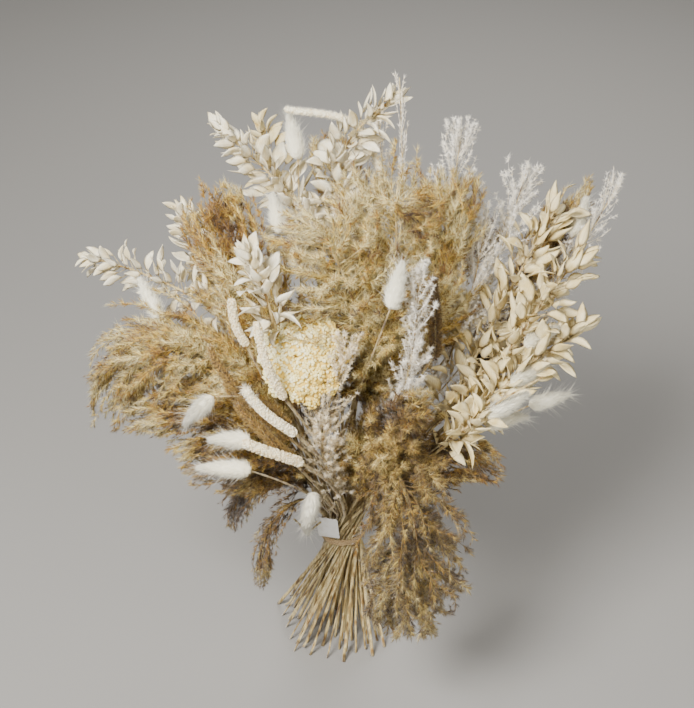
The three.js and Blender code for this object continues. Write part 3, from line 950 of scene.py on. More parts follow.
    @staticmethod
    @functools.cache
    def twig(sides: int = 3) -> Template:
        """Return a straight tube of unit length that thins to its tip.

        Args:
            sides: The number of sides.

        Returns:
            The tube.
        """
        work = bmesh.new()
        layer = work.loops.layers.uv.verify()
        bmesh.ops.create_circle(work, cap_ends=False, radius=1.0, segments=sides)
        edges = work.edges[:]
        for _ in range(TWIG_RINGS):
            made = bmesh.ops.extrude_edge_only(work, edges=edges)["geom"]
            verts = [part for part in made if isinstance(part, bmesh.types.BMVert)]
            edges = [part for part in made if isinstance(part, bmesh.types.BMEdge)]
            edges = [edge for edge in edges if all(vert in verts for vert in edge.verts)]
            bmesh.ops.translate(work, vec=(0.0, 0.0, 1.0 / TWIG_RINGS), verts=verts)
            bmesh.ops.scale(work, vec=(TWIG_THINNING, TWIG_THINNING, 1.0), verts=verts)
        bmesh.ops.recalc_face_normals(work, faces=work.faces[:])
        for face in work.faces:
            for loop in face.loops:
                spin = math.atan2(loop.vert.co.y, loop.vert.co.x) / FULL_TURN
                loop[layer].uv = (0.5 + spin * 0.8, 0.02 + loop.vert.co.z * 0.46)
        return Template.take(work)

    @staticmethod
    def leaf(curl: float, twist: float, fold: float) -> Template:
        """Return a closed pointed leaf of unit length, folded along its midrib.

        Args:
            curl: How far the tip bends over, in radians, and not 0.
            twist: How far the tip turns about the midrib, in radians.
            fold: How far the two sides rise from the midrib.

        Returns:
            The leaf, with its foot at the origin and its tip along z.
        """
        work = bmesh.new()
        bmesh.ops.create_grid(work, x_segments=4, y_segments=6, size=0.5)
        layer = work.loops.layers.uv.verify()
        for face in work.faces:
            for loop in face.loops:
                loop[layer].uv = (loop.vert.co.x + 0.5, loop.vert.co.y + 0.5)
        under = bmesh.ops.duplicate(work, geom=work.faces[:])["geom"]
        faces = [part for part in under if isinstance(part, bmesh.types.BMFace)]
        bmesh.ops.reverse_faces(work, faces=faces)
        lower = {vert for face in faces for vert in face.verts}
        for vert in work.verts:
            across, share = vert.co.x * 2.0, vert.co.y + 0.5
            inside = (1.0 - across**2) * math.sin(math.pi * share)
            sign = -1.0 if vert in lower else 1.0
            width = 0.5 * (max(math.sin(math.pi * share**0.75), 0.0) ** 1.1) * (1.0 - 0.3 * share)
            flat = Vector((across * width, sign * inside * 0.012, 0.0))
            flat.y += fold * abs(across) * width
            flat.rotate(Matrix.Rotation(twist * share, 3, "Z"))
            bend = curl * share
            reach = math.sin(bend) / curl
            fall = (1.0 - math.cos(bend)) / curl
            turned = Matrix.Rotation(-bend, 3, "X") @ flat
            vert.co = turned + Vector((0.0, fall, reach))
        bmesh.ops.remove_doubles(work, verts=work.verts[:], dist=1e-4)
        bmesh.ops.recalc_face_normals(work, faces=work.faces[:])
        return Template.take(work)


# ---------------------------------------------------------------------------------------------
# The line of a plant
# ---------------------------------------------------------------------------------------------


@dataclass
class Stretch:
    """A part of a plant's line, evenly sampled, with a frame at each sample."""

    centre: np.ndarray
    axes: np.ndarray
    length: float
    radius: float

    @classmethod
    def along(cls, line: np.ndarray, radius: float, count: int) -> "Stretch":
        """Sample a line evenly and carry a frame along it.

        Args:
            line: The points of the line.
            radius: The radius of what grows on it.
            count: The number of samples.

        Returns:
            The stretch.
        """
        steps = np.linalg.norm(np.diff(line, axis=0), axis=1)
        run = np.concatenate(([0.0], np.cumsum(steps)))
        even = np.linspace(0.0, run[-1], count)
        centre = np.stack([np.interp(even, run, line[:, k]) for k in range(3)], axis=1)
        ahead = unit(np.gradient(centre, axis=0))
        side = unit(np.cross(ahead[0], (0.31, 0.87, 0.12)))
        axes = np.zeros((count, 3, 3))
        for k in range(count):
            side = unit(side - ahead[k] * float(side @ ahead[k]))
            axes[k] = np.stack((side, np.cross(ahead[k], side), ahead[k]), axis=1)
        return cls(centre, axes, float(run[-1]), radius)

    def at(self, share: np.ndarray) -> tuple[np.ndarray, np.ndarray]:
        """Return points and frames at shares of the length, also past the tip.

        Args:
            share: The shares, from 0 at the foot.

        Returns:
            The points and the frames.
        """
        last = len(self.centre) - 1
        place = np.clip(share, 0.0, 1.0) * last
        points = np.stack(
            [np.interp(place, np.arange(last + 1), self.centre[:, k]) for k in range(3)], axis=1
        )
        axes = self.axes[np.clip(np.rint(place), 0, last).astype(int)]
        beyond = np.maximum(share - 1.0, 0.0) * self.length
        return points + axes[:, :, 2] * beyond[:, None], axes

    def around(self, share: np.ndarray, rng: np.random.Generator) -> tuple:
        """Return points and forward directions at shares of the length, and a random side at each."""
        centre, axes = self.at(share)
        return centre, axes[:, :, 2], outward(axes, rng.uniform(0.0, FULL_TURN, len(share)))


class Spine:
    """The centre line of a plant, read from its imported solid."""

    PITCH: ClassVar[float] = 8.0 * MM
    SAMPLES: ClassVar[int] = 40
    STEM_LIMIT: ClassVar[float] = 2.5 * MM

    def __init__(self, node: str) -> None:
        """Read a node's solid.

        Args:
            node: The node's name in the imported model.
        """
        work = bmesh.new()
        work.from_mesh(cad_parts[node].data)
        bmesh.ops.remove_doubles(work, verts=work.verts[:], dist=MERGE)
        bmesh.ops.triangulate(work, faces=work.faces[:])
        work.verts.ensure_lookup_table()
        work.verts.index_update()
        walked = self._walk(work)
        corners = np.array([vert.co[:] for vert in work.verts])
        triangles = np.array([[vert.index for vert in face.verts] for face in work.faces])
        work.free()
        triangles = triangles[np.isfinite(walked[triangles]).all(axis=1)]
        reached = np.isfinite(walked)
        far = corners[reached][int(np.argmax(walked[reached]))]
        low = corners[corners[:, 2] < GROUND]
        self._measure(corners[triangles], walked[triangles], low.mean(axis=0), far)

    @staticmethod
    def _walk(work: bmesh.types.BMesh) -> np.ndarray:
        """Return how far each corner is from the cut end, along the edges.

        Args:
            work: The solid.

        Returns:
            One distance for each corner, endless where none is reached.
        """
        far = np.full(len(work.verts), np.inf)
        queue = [(0.0, vert.index) for vert in work.verts if vert.co.z < GROUND]
        for _, index in queue:
            far[index] = 0.0
        while queue:
            done, index = heapq.heappop(queue)
            if done > far[index]:
                continue
            for edge in work.verts[index].link_edges:
                other = edge.other_vert(work.verts[index]).index
                reach = done + edge.calc_length()
                if reach < far[other]:
                    far[other] = reach
                    heapq.heappush(queue, (reach, other))
        return far

    def _measure(self, faces: np.ndarray, walked: np.ndarray, foot: np.ndarray, tip: np.ndarray) -> None:
        """Work out the centre line and the radius along it.

        Args:
            faces: The corners of each triangle.
            walked: The distance of each corner from the cut end.
            foot: The middle of the cut end.
            tip: The farthest corner.
        """
        rng = np.random.default_rng(7)
        share = rng.dirichlet((1.0, 1.0, 1.0), (len(faces), self.SAMPLES))
        points = np.einsum("nsk,nkj->nsj", share, faces).reshape(-1, 3)
        reach = np.einsum("nsk,nk->ns", share, walked).ravel()
        cross = np.cross(faces[:, 1] - faces[:, 0], faces[:, 2] - faces[:, 0])
        weight = np.repeat(np.linalg.norm(cross, axis=1), self.SAMPLES) + 1e-12
        slot = (reach / self.PITCH).astype(int)
        count = slot.max() + 1
        total = np.bincount(slot, weight, count)
        used = total > 0.0
        line = np.stack([np.bincount(slot, weight * points[:, k], count) for k in range(3)], axis=1)
        line = line[used] / total[used][:, None]
        ahead = unit(np.gradient(line, axis=0))
        number = np.cumsum(used) - 1
        off = points - line[number[slot]]
        off -= ahead[number[slot]] * np.sum(off * ahead[number[slot]], axis=1, keepdims=True)
        square = np.bincount(slot, weight * np.sum(off**2, axis=1), count)[used] / total[used]
        self.radii = np.concatenate(([np.sqrt(square[0])], np.sqrt(square), [0.0]))
        self.line = np.concatenate((foot[None], line, tip[None]))
        self.line[0, 2] = 0.0

    def split(self) -> int:
        """Return the number of the sample where the head starts.

        Returns:
            The number of the sample.
        """
        thick = self.radii > self.STEM_LIMIT
        high = self.line[:, 2] > HEADS_FROM
        for k in range(1, len(thick) - 2):
            if high[k] and thick[k] and thick[k + 1]:
                return k
        return len(thick) - 6

    def smoothed(self, passes: int, start: int) -> np.ndarray:
        """Return the line with its head softened, both ends kept.

        Args:
            passes: How often it is softened.
            start: The first sample that may move.

        Returns:
            The line.
        """
        line = self.line.copy()
        for _ in range(passes):
            line[start:-1] = (line[start - 1:-2] + line[start:-1] * 2.0 + line[start + 1:]) / 4.0
        return line

    def head(self, passes: int, skirt: float) -> Stretch:
        """Return the head's part of the line.

        Args:
            passes: How often it is softened.
            skirt: How far down the stem it starts below the solid head.

        Returns:
            The head's line, with its radius.
        """
        start = self.split()
        first = max(start - 1 - round(skirt / self.PITCH), 2)
        line = self.smoothed(passes, max(start, 1))[first:]
        radius = float(np.percentile(self.radii[start:-1], 88.0))
        return Stretch.along(line, radius, HEAD_SAMPLES)


def stem_tube(line: np.ndarray, radii: np.ndarray, sides: int = 7) -> Template:
    """Return a tube along a line, mapped into the band of the stems.

    Args:
        line: The points of the line.
        radii: The radius at each point.
        sides: The number of sides.

    Returns:
        The tube, closed at both ends.
    """
    stretch = Stretch.along(line, 0.0, len(line))
    work = bmesh.new()
    layer = work.loops.layers.uv.verify()
    verts = bmesh.ops.create_circle(work, cap_ends=True, radius=1.0, segments=sides)["verts"]
    edges = work.edges[:]
    station: dict = {}
    before = Matrix.Identity(4)
    for k in range(len(line)):
        if k:
            made = bmesh.ops.extrude_edge_only(work, edges=edges)["geom"]
            verts = [part for part in made if isinstance(part, bmesh.types.BMVert)]
            fresh = set(verts)
            edges = [part for part in made if isinstance(part, bmesh.types.BMEdge)]
            edges = [edge for edge in edges if edge.verts[0] in fresh and edge.verts[1] in fresh]
        turned = Matrix(stretch.axes[k].tolist()).to_4x4() @ Matrix.Diagonal((radii[k],) * 3 + (1.0,))
        place = Matrix.Translation(stretch.centre[k].tolist()) @ turned
        bmesh.ops.transform(work, matrix=place @ before.inverted(), verts=verts)
        before = place
        back = place.inverted()
        for vert in verts:
            local = back @ vert.co
            spin = (math.atan2(local.y, local.x) / FULL_TURN) % 1.0
            station[vert] = (spin, k / (len(line) - 1))
    bmesh.ops.holes_fill(work, edges=edges, sides=sides)
    bmesh.ops.recalc_face_normals(work, faces=work.faces[:])
    for face in work.faces:
        found = [station[loop.vert] for loop in face.loops]
        wraps = max(spin for spin, _ in found) - min(spin for spin, _ in found) > 0.5
        for loop, (spin, rise) in zip(face.loops, found):
            spin += 1.0 if wraps and spin < 0.5 else 0.0
            loop[layer].uv = (spin * STEM_BAND * 0.8, 0.005 + rise * 0.99)
    return Template.take(work)


def dressed(name: str, made: bpy.types.Mesh, finish: Any, node: str = "") -> bpy.types.Object:
    """Put a finished mesh into the scene.

    Args:
        name: What the piece is called.
        made: Its mesh.
        finish: Its finish.
        node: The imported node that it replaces, if any.

    Returns:
        The piece.
    """
    piece = bpy.data.objects.new(name, made)
    bpy.context.scene.collection.objects.link(piece)
    made.materials.append(material_of(finish))
    if node:
        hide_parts(node)
    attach(piece, "root")
    LOG.info("%s: %d faces", name, len(made.polygons))
    return piece


# ---------------------------------------------------------------------------------------------
# Plants
# ---------------------------------------------------------------------------------------------


@dataclass
class Plant:
    """One dried plant: its stem from the cut end, and its head."""

    name: str
    slot: ClassVar[str] = "pampas"
    finish: ClassVar[Any] = PAMPAS_FINISH
    tone: float = 0.7
    golden: float = 0.5
    stem_radius: float = 1.9 * MM
    tip_radius: float = 0.7 * MM
    passes: int = 3
    skirt: float = 0.0

    def build(self) -> bpy.types.Object:
        """Grow the plant and dress it.

        Returns:
            The finished piece.
        """
        rng = np.random.default_rng(zlib.crc32(self.name.encode()))
        spine = Spine(self.name)
        pile = Pile()
        self.grow_stem(pile, spine, rng)
        self.grow_head(pile, spine.head(self.passes, self.skirt), rng)
        name = f"{self.name}_dried"
        return dressed(name, pile.mesh(name), self.own_finish(), self.name)

    def own_finish(self) -> Any:
        """Return this plant's finish."""
        return self.finish

    def tints(self, count: int, spread: float, rng: np.random.Generator, shift: float = 0.0) -> np.ndarray:
        """Return parts of the map of tones near the plant's own, some of them gold.

        Args:
            count: How many are wanted.
            spread: How far they differ.
            rng: The source of their differences.
            shift: How much lighter than the plant's own tone their middle is.

        Returns:
            Copies by 4: u, v, width and height.
        """
        tones = np.clip(rng.normal(self.tone + shift, spread, count), 0.0, 0.99)
        return tone_cells(tones, (rng.random(count) < self.golden).astype(int))

    def grow_stem(self, pile: Pile, spine: Spine, rng: np.random.Generator) -> None:
        """Add the stem and, inside the head, its thinning end.

        Args:
            pile: What the stem joins.
            spine: The line of the whole plant.
            rng: The source of the plant's differences.
        """
        start = spine.split()
        line = spine.smoothed(self.passes, max(start, 1))
        stretch = Stretch.along(line, 0.0, STEM_SAMPLES)
        neck = start / len(line)
        share = np.linspace(0.0, 1.0, STEM_SAMPLES)
        thick = (self.stem_radius, self.stem_radius * 0.8, self.tip_radius)
        radii = np.interp(share, (0.0, neck, 1.0), thick)
        radii *= 1.0 + rng.normal(0.0, 0.035, len(radii))
        for joint in rng.uniform(0.05, neck, 3):
            radii += 0.28 * MM * np.exp(-(((share - joint) / 0.012) ** 2))
        pile.once(stem_tube(stretch.centre, radii), 0.0, 1.0)

    def grow_head(self, pile: Pile, head: Stretch, rng: np.random.Generator) -> None:
        """Add the head."""
        raise NotImplementedError


def outward(axes: np.ndarray, turn: np.ndarray) -> np.ndarray:
    """Return the direction across each frame at an angle."""
    return tilted(axes[:, :, 0], axes[:, :, 1], turn)


def held_in(points: np.ndarray) -> np.ndarray:
    """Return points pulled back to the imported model's box where they leave it.

    Args:
        points: The points.

    Returns:
        The points, moved where they had to be.
    """
    low, high = np.array(CAD_BOX[0]), np.array(CAD_BOX[1])
    low = low + (0.0, 0.0, FLOOR_MARGIN)
    over = np.maximum(points - high, 0.0)
    under = np.maximum(low - points, 0.0)
    return points - over * PULL_IN + under * PULL_IN


def blotches(points: np.ndarray, size: float, rng: np.random.Generator) -> np.ndarray:
    """Return a soft pattern of about -1 to 1 over space.

    Args:
        points: Where it is wanted.
        size: The width of a blotch.
        rng: The source of its waves.

    Returns:
        One value for each point.
    """
    total = np.zeros(len(points))
    for _ in range(WAVES):
        wave = rng.normal(0.0, 1.0, 3) * (math.pi / size)
        total += np.sin(points @ wave + rng.uniform(0.0, FULL_TURN))
    return total / WAVE_SCALE


@dataclass
class PampasPlume(Plant):
    """A pampas plume: long fronds along a bent shaft, thick with hair and seeds."""

    slot: ClassVar[str] = "pampas"
    finish: ClassVar[Any] = PAMPAS_FINISH
    tufts: int = 3000
    fronds: int = 110
    frond_length: float = 85.0 * MM
    fullness: float = 1.1
    droop: float = 0.12
    tone: float = 0.7
    golden: float = 0.8
    # Painted shade along each frond: positive values darken the tufts at the frond's foot and lighten its
    # tip.
    frond_shading: float = 0.40
    contrast: float = 0.26
    # Painted shade: depth darkens the tufts of fronds that start low on the head, inside the plume.
    depth: float = 0.22
    forward: float = 0.92
    tuft_size: float = 1.0
    lean: tuple = (12.0, 52.0)
    past_tip: float = 12.0 * MM
    skirt: float = 60.0 * MM
    width_at: tuple = (0.16, 0.50, 1.0, 0.95, 0.55, 0.35)

    WIDTH_SHARES: ClassVar[tuple] = (0.0, 0.18, 0.48, 0.78, 1.0, 1.1)
    FROND_RADIUS: ClassVar[float] = 0.42 * MM
    BLOTCH: ClassVar[float] = 34.0 * MM
    SHADED_FOOT: ClassVar[float] = 0.35

    @staticmethod
    @functools.cache
    def shapes() -> list:
        """Return the tuft shapes, modelled once."""
        rng = np.random.default_rng(11)
        return [Shapes.tuft(rng, TUFT_HAIRS, TUFT_SEEDS) for _ in range(TUFT_KINDS)]

    def lay_fronds(self, head: Stretch, rng: np.random.Generator) -> tuple[Bends, np.ndarray]:
        """Return the curves of the fronds.

        Args:
            head: The line of the head.
            rng: The source of the fronds' differences.

        Returns:
            One curve for each frond, and how far up the head it starts.
        """
        count = self.fronds
        start = 0.01 + 0.88 * rng.random(count) ** 0.95
        turn = np.arange(count) * GOLDEN_ANGLE + rng.normal(0.0, 0.3, count)
        length = self.frond_length * rng.uniform(0.7, 1.2, count)
        limit = 1.0 + self.past_tip / head.length * rng.uniform(0.0, 1.0, count)
        end = np.minimum(start + self.forward * length / head.length, limit)
        middle = start + 0.45 * (end - start)
        reach = head.radius * self.fullness * np.sqrt(rng.uniform(0.08, 1.1, count))
        root, root_axes = head.at(start)
        half, half_axes = head.at(middle)
        tip, tip_axes = head.at(end)
        wide_half = np.interp(middle, self.WIDTH_SHARES, self.width_at) * reach
        wide_tip = np.interp(end, self.WIDTH_SHARES, self.width_at) * reach
        turn_tip = turn + rng.normal(0.0, 0.35, count)
        bent = half + outward(half_axes, turn) * (wide_half * 0.85)[:, None]
        free = tip + outward(tip_axes, turn_tip) * wide_tip[:, None]
        free -= UP * (self.droop * length)[:, None]
        return Bends(root + outward(root_axes, turn) * 0.8 * MM, held_in(bent), held_in(free)), start

    def grow_head(self, pile: Pile, head: Stretch, rng: np.random.Generator) -> None:
        """Add the fronds and the tufts on them.

        Args:
            pile: What the shapes join.
            head: The line of the head.
            rng: The source of the plant's differences.
        """
        bends, start = self.lay_fronds(head, rng)
        own = rng.normal(0.0, 1.0, self.fronds)
        dark = np.clip(self.tone - 0.2 + 0.08 * own, 0.05, 0.95)
        gold = (rng.random(self.fronds) < self.golden).astype(int)
        pile.bend(bends, self.FROND_RADIUS, tone_cells(dark, gold))
        weights = np.linalg.norm(bends.tip - bends.root, axis=1)
        which = rng.choice(self.fronds, self.tufts, p=weights / weights.sum())
        share = 0.08 + 0.92 * rng.random(self.tufts) ** 0.8
        points, ahead = bends.at(which, share)
        lean = np.radians(rng.uniform(*self.lean, self.tufts)) * (1.0 - 0.3 * share)
        facing = tilted(ahead, spun(ahead, rng)[:, :, 0], lean)
        size = self.tuft_size * (1.0 - 0.38 * share) * rng.uniform(0.75, 1.15, self.tufts)
        # Painted shade along each frond: a positive value darkens the tufts near its foot, inside the
        # plume, and lightens its tip; a negative one darkens the tip.
        tones = self.tone + self.frond_shading * (share - 0.6) + 0.05 * own[which]
        tones += self.contrast * blotches(points, self.BLOTCH, rng)
        tones += rng.normal(0.0, 0.1, self.tufts)
        # Painted shade: fronds that start in the lowest share of the head, deep in the plume, get darker
        # tufts.
        tones -= self.depth * np.clip(1.0 - start[which] / self.SHADED_FOOT, 0.0, 1.0)
        families = (rng.random(self.tufts) < self.golden).astype(int)
        cells = tone_cells(np.clip(tones, 0.02, 0.98), families)
        axes = spun(facing, rng)
        scales = np.repeat(size[:, None], 3, axis=1)
        pick = rng.integers(0, TUFT_KINDS, self.tufts)
        pile.scatter(self.shapes(), pick, (points, axes, scales), cells)


@dataclass
class BunnyTail(Plant):
    """A soft egg of short hairs with long fine awns."""

    slot: ClassVar[str] = "tail"
    finish: ClassVar[Any] = TAIL_FINISH
    stem_radius: float = 0.95 * MM
    tip_radius: float = 0.5 * MM
    hairs: int = 2500
    awns: int = 110
    tone: float = 0.86
    golden: float = 0.35
    passes: int = 1

    HAIR_RADIUS: ClassVar[float] = 0.26 * MM
    HAIR_LENGTHS: ClassVar[tuple] = (5.5 * MM, 10.5 * MM)
    HAIR_LEANS: ClassVar[tuple] = (10.0, 58.0)
    AWN_RADIUS: ClassVar[float] = 0.14 * MM
    AWN_LENGTHS: ClassVar[tuple] = (12.0 * MM, 21.0 * MM)
    BODY_SHARE: ClassVar[float] = 0.86

    @staticmethod
    def width(share: np.ndarray) -> np.ndarray:
        """Return the body's half width, as a share of its greatest."""
        return np.maximum(np.sin(math.pi * np.clip(share, 0.0, 1.0) ** 0.60), 0.0) ** 0.85

    def grow_head(self, pile: Pile, head: Stretch, rng: np.random.Generator) -> None:
        """Add the body, its hairs and its awns.

        Args:
            pile: What the shapes join.
            head: The line of the head.
            rng: The source of the plant's differences.
        """
        radius = head.radius * self.BODY_SHARE
        share = 0.02 + 0.90 * rng.random(self.hairs) ** 0.95
        centre, ahead, out = head.around(share, rng)
        roots = centre + out * (radius * self.width(share) * rng.uniform(0.3, 0.86, self.hairs))[:, None]
        lean = np.radians(rng.uniform(*self.HAIR_LEANS, self.hairs)) * (1.0 - 0.75 * share)
        facing = tilted(ahead, out, lean)
        facing += rng.normal(0.0, 0.12, facing.shape)
        length = rng.uniform(*self.HAIR_LENGTHS, self.hairs) * (1.0 - 0.4 * share)
        self.add_hairs(pile, roots, facing, length, self.HAIR_RADIUS, rng)
        self.add_body(pile, head, radius * 0.8, 18)
        share = rng.uniform(0.1, 0.95, self.awns)
        centre, ahead, out = head.around(share, rng)
        roots = centre + out * (radius * self.width(share) * 0.6)[:, None]
        facing = ahead + out * rng.uniform(0.3, 1.7, self.awns)[:, None]
        length = rng.uniform(*self.AWN_LENGTHS, self.awns)
        self.add_hairs(pile, roots, facing, length, self.AWN_RADIUS, rng)

    def add_body(self, pile: Pile, head: Stretch, radius: float, rings: int) -> None:
        """Add the closed body that the hairs or the grains stand on.

        Args:
            pile: What the body joins.
            head: The line of the head.
            radius: Its greatest radius.
            rings: The number of rings along it.
        """
        share = np.linspace(0.0, 1.0, rings)
        centre, _ = head.at(share)
        shape = stem_tube(centre, np.maximum(self.width(share) * radius, 0.3 * MM), 12)
        left, _, width, _ = tone_cells(np.array((self.tone,)), np.array((0,)))[0]
        pile.add(shape, shape.points[None], map_cells(left + width * 0.3, 0.0, 0.1, 0.46))

    def add_hairs(
        self, pile: Pile, roots: np.ndarray, facing: np.ndarray, length: np.ndarray, radius: float,
        rng: np.random.Generator,
    ) -> None:
        """Add needles on roots, each with its own tone.

        Args:
            pile: What the hairs join.
            roots: Where they start.
            facing: Where they point.
            length: The length of each.
            radius: The usual radius of a foot.
            rng: The source of the plant's differences.
        """
        count = len(roots)
        needle = Shapes.needle()
        thick = rng.uniform(0.7, 1.2, count) * radius
        scales = np.stack((thick, thick, length), axis=1)
        axes = spun(facing, rng)
        pile.add(needle, placed(needle, roots, axes, scales), self.tints(count, 0.08, rng))

    def add_grains(self, pile: Pile, ball: Template, places: tuple, long: float, cells: np.ndarray) -> None:
        """Add small grains, each longer than it is wide.

        Args:
            pile: What they join.
            ball: Their shape.
            places: The origin, the frame and the size of each.
            long: How many times its size each is long.
            cells: For each its part of the map.
        """
        points, axes, size = places
        scales = np.stack((size * 0.8, size * 0.8, size * long), axis=1)
        pile.add(ball, placed(ball, points, axes, scales), cells)


@dataclass
class CreamStick(BunnyTail):
    """A slim cream catkin of close grains."""

    slot: ClassVar[str] = "stick"
    finish: ClassVar[Any] = STICK_FINISH
    coat: Coat = Coat.VELVET
    grains: int = 650
    slim: float = 1.0
    tone: float = 0.66
    golden: float = 0.3
    stem_radius: float = 1.75 * MM
    passes: int = 2

    COATS: ClassVar[dict] = {
        Coat.VELVET: (500, 1.7 * MM), Coat.FUZZ: (2600, 3.6 * MM), Coat.TUFTED: (600, 2.0 * MM)
    }
    GRAIN_SIZES: ClassVar[tuple] = (0.75 * MM, 1.2 * MM)
    COAT_RADIUS: ClassVar[float] = 0.16 * MM
    TUFT_HAIRS: ClassVar[int] = 260
    TUFT_LENGTHS: ClassVar[tuple] = (5.0 * MM, 9.0 * MM)
    TUFT_RADIUS: ClassVar[float] = 0.42 * MM

    @staticmethod
    def width(share: np.ndarray) -> np.ndarray:
        """Return the body's half width: even, with round ends."""
        ends = np.minimum(np.clip(share, 0.0, 1.0), np.clip(1.0 - share, 0.0, 1.0)) / 0.06
        return np.sqrt(1.0 - (1.0 - np.clip(ends, 0.0, 1.0)) ** 2)

    def grow_head(self, pile: Pile, head: Stretch, rng: np.random.Generator) -> None:
        """Add the body, its grains and its coat.

        Args:
            pile: What the shapes join.
            head: The line of the head.
            rng: The source of the plant's differences.
        """
        radius = head.radius * self.slim
        self.add_body(pile, head, radius * 0.82, 40)
        share = rng.random(self.grains)
        centre, ahead, out = head.around(share, rng)
        points = centre + out * (self.skin(share) * radius * 0.93)[:, None]
        size = rng.uniform(*self.GRAIN_SIZES, self.grains)
        cells = self.tints(self.grains, 0.17, rng, -0.06)
        self.add_grains(pile, Shapes.ball(), (points, spun(out + ahead * 0.8, rng), size), 1.4, cells)
        hairs, long = self.COATS[self.coat]
        share = rng.random(hairs)
        centre, ahead, out = head.around(share, rng)
        roots = centre + out * (self.skin(share) * radius * 0.85)[:, None]
        facing = out + ahead * rng.uniform(0.2, 1.0, hairs)[:, None]
        self.add_hairs(pile, roots, facing, rng.uniform(0.6, 1.2, hairs) * long, self.COAT_RADIUS, rng)
        if self.coat is Coat.TUFTED:
            count = self.TUFT_HAIRS
            centre, ahead, out = head.around(rng.uniform(0.72, 1.02, count), rng)
            facing = out + ahead * rng.uniform(-0.2, 1.0, count)[:, None]
            length = rng.uniform(*self.TUFT_LENGTHS, count)
            self.add_hairs(pile, centre, facing, length, self.TUFT_RADIUS, rng)

    def skin(self, share: np.ndarray) -> np.ndarray:
        """Return the body's half width where its skin is."""
        return np.maximum(self.width(share), 0.05)


@dataclass
class BrownSpike(BunnyTail):
    """A brown foxtail: a bristly spike of small seeds."""

    slot: ClassVar[str] = "spike"
    finish: ClassVar[Any] = SPIKE_FINISH
    hairs: int = 2800
    grains: int = 420
    tone: float = 0.5
    golden: float = 0.5
    stem_radius: float = 1.6 * MM
    passes: int = 2

    GRAIN_SIZES: ClassVar[tuple] = (0.8 * MM, 1.2 * MM)
    HAIR_RADIUS: ClassVar[float] = 0.2 * MM
    HAIR_LENGTHS: ClassVar[tuple] = (5.0 * MM, 9.5 * MM)

    def grow_head(self, pile: Pile, head: Stretch, rng: np.random.Generator) -> None:
        """Add the seeds and the bristles.

        Args:
            pile: What the shapes join.
            head: The line of the head.
            rng: The source of the plant's differences.
        """
        share = rng.random(self.grains)
        taper = 1.0 - 0.55 * share**3
        centre, ahead, out = head.around(share, rng)
        points = centre + out * (taper * head.radius * rng.uniform(0.4, 1.1, self.grains))[:, None]
        size = rng.uniform(*self.GRAIN_SIZES, self.grains)
        turned = spun(out + ahead, rng)
        cells = self.tints(self.grains, 0.14, rng)
        self.add_grains(pile, Shapes.ball(Row.SEED), (points, turned, size), 1.7, cells)
        share = rng.random(self.hairs)
        taper = 1.0 - 0.5 * share**3
        centre, ahead, out = head.around(share, rng)
        roots = centre + out * (taper * head.radius * 0.5)[:, None]
        facing = out * rng.uniform(0.4, 1.7, self.hairs)[:, None] + ahead
        length = rng.uniform(*self.HAIR_LENGTHS, self.hairs) * taper
        self.add_hairs(pile, roots, facing, length, self.HAIR_RADIUS, rng)


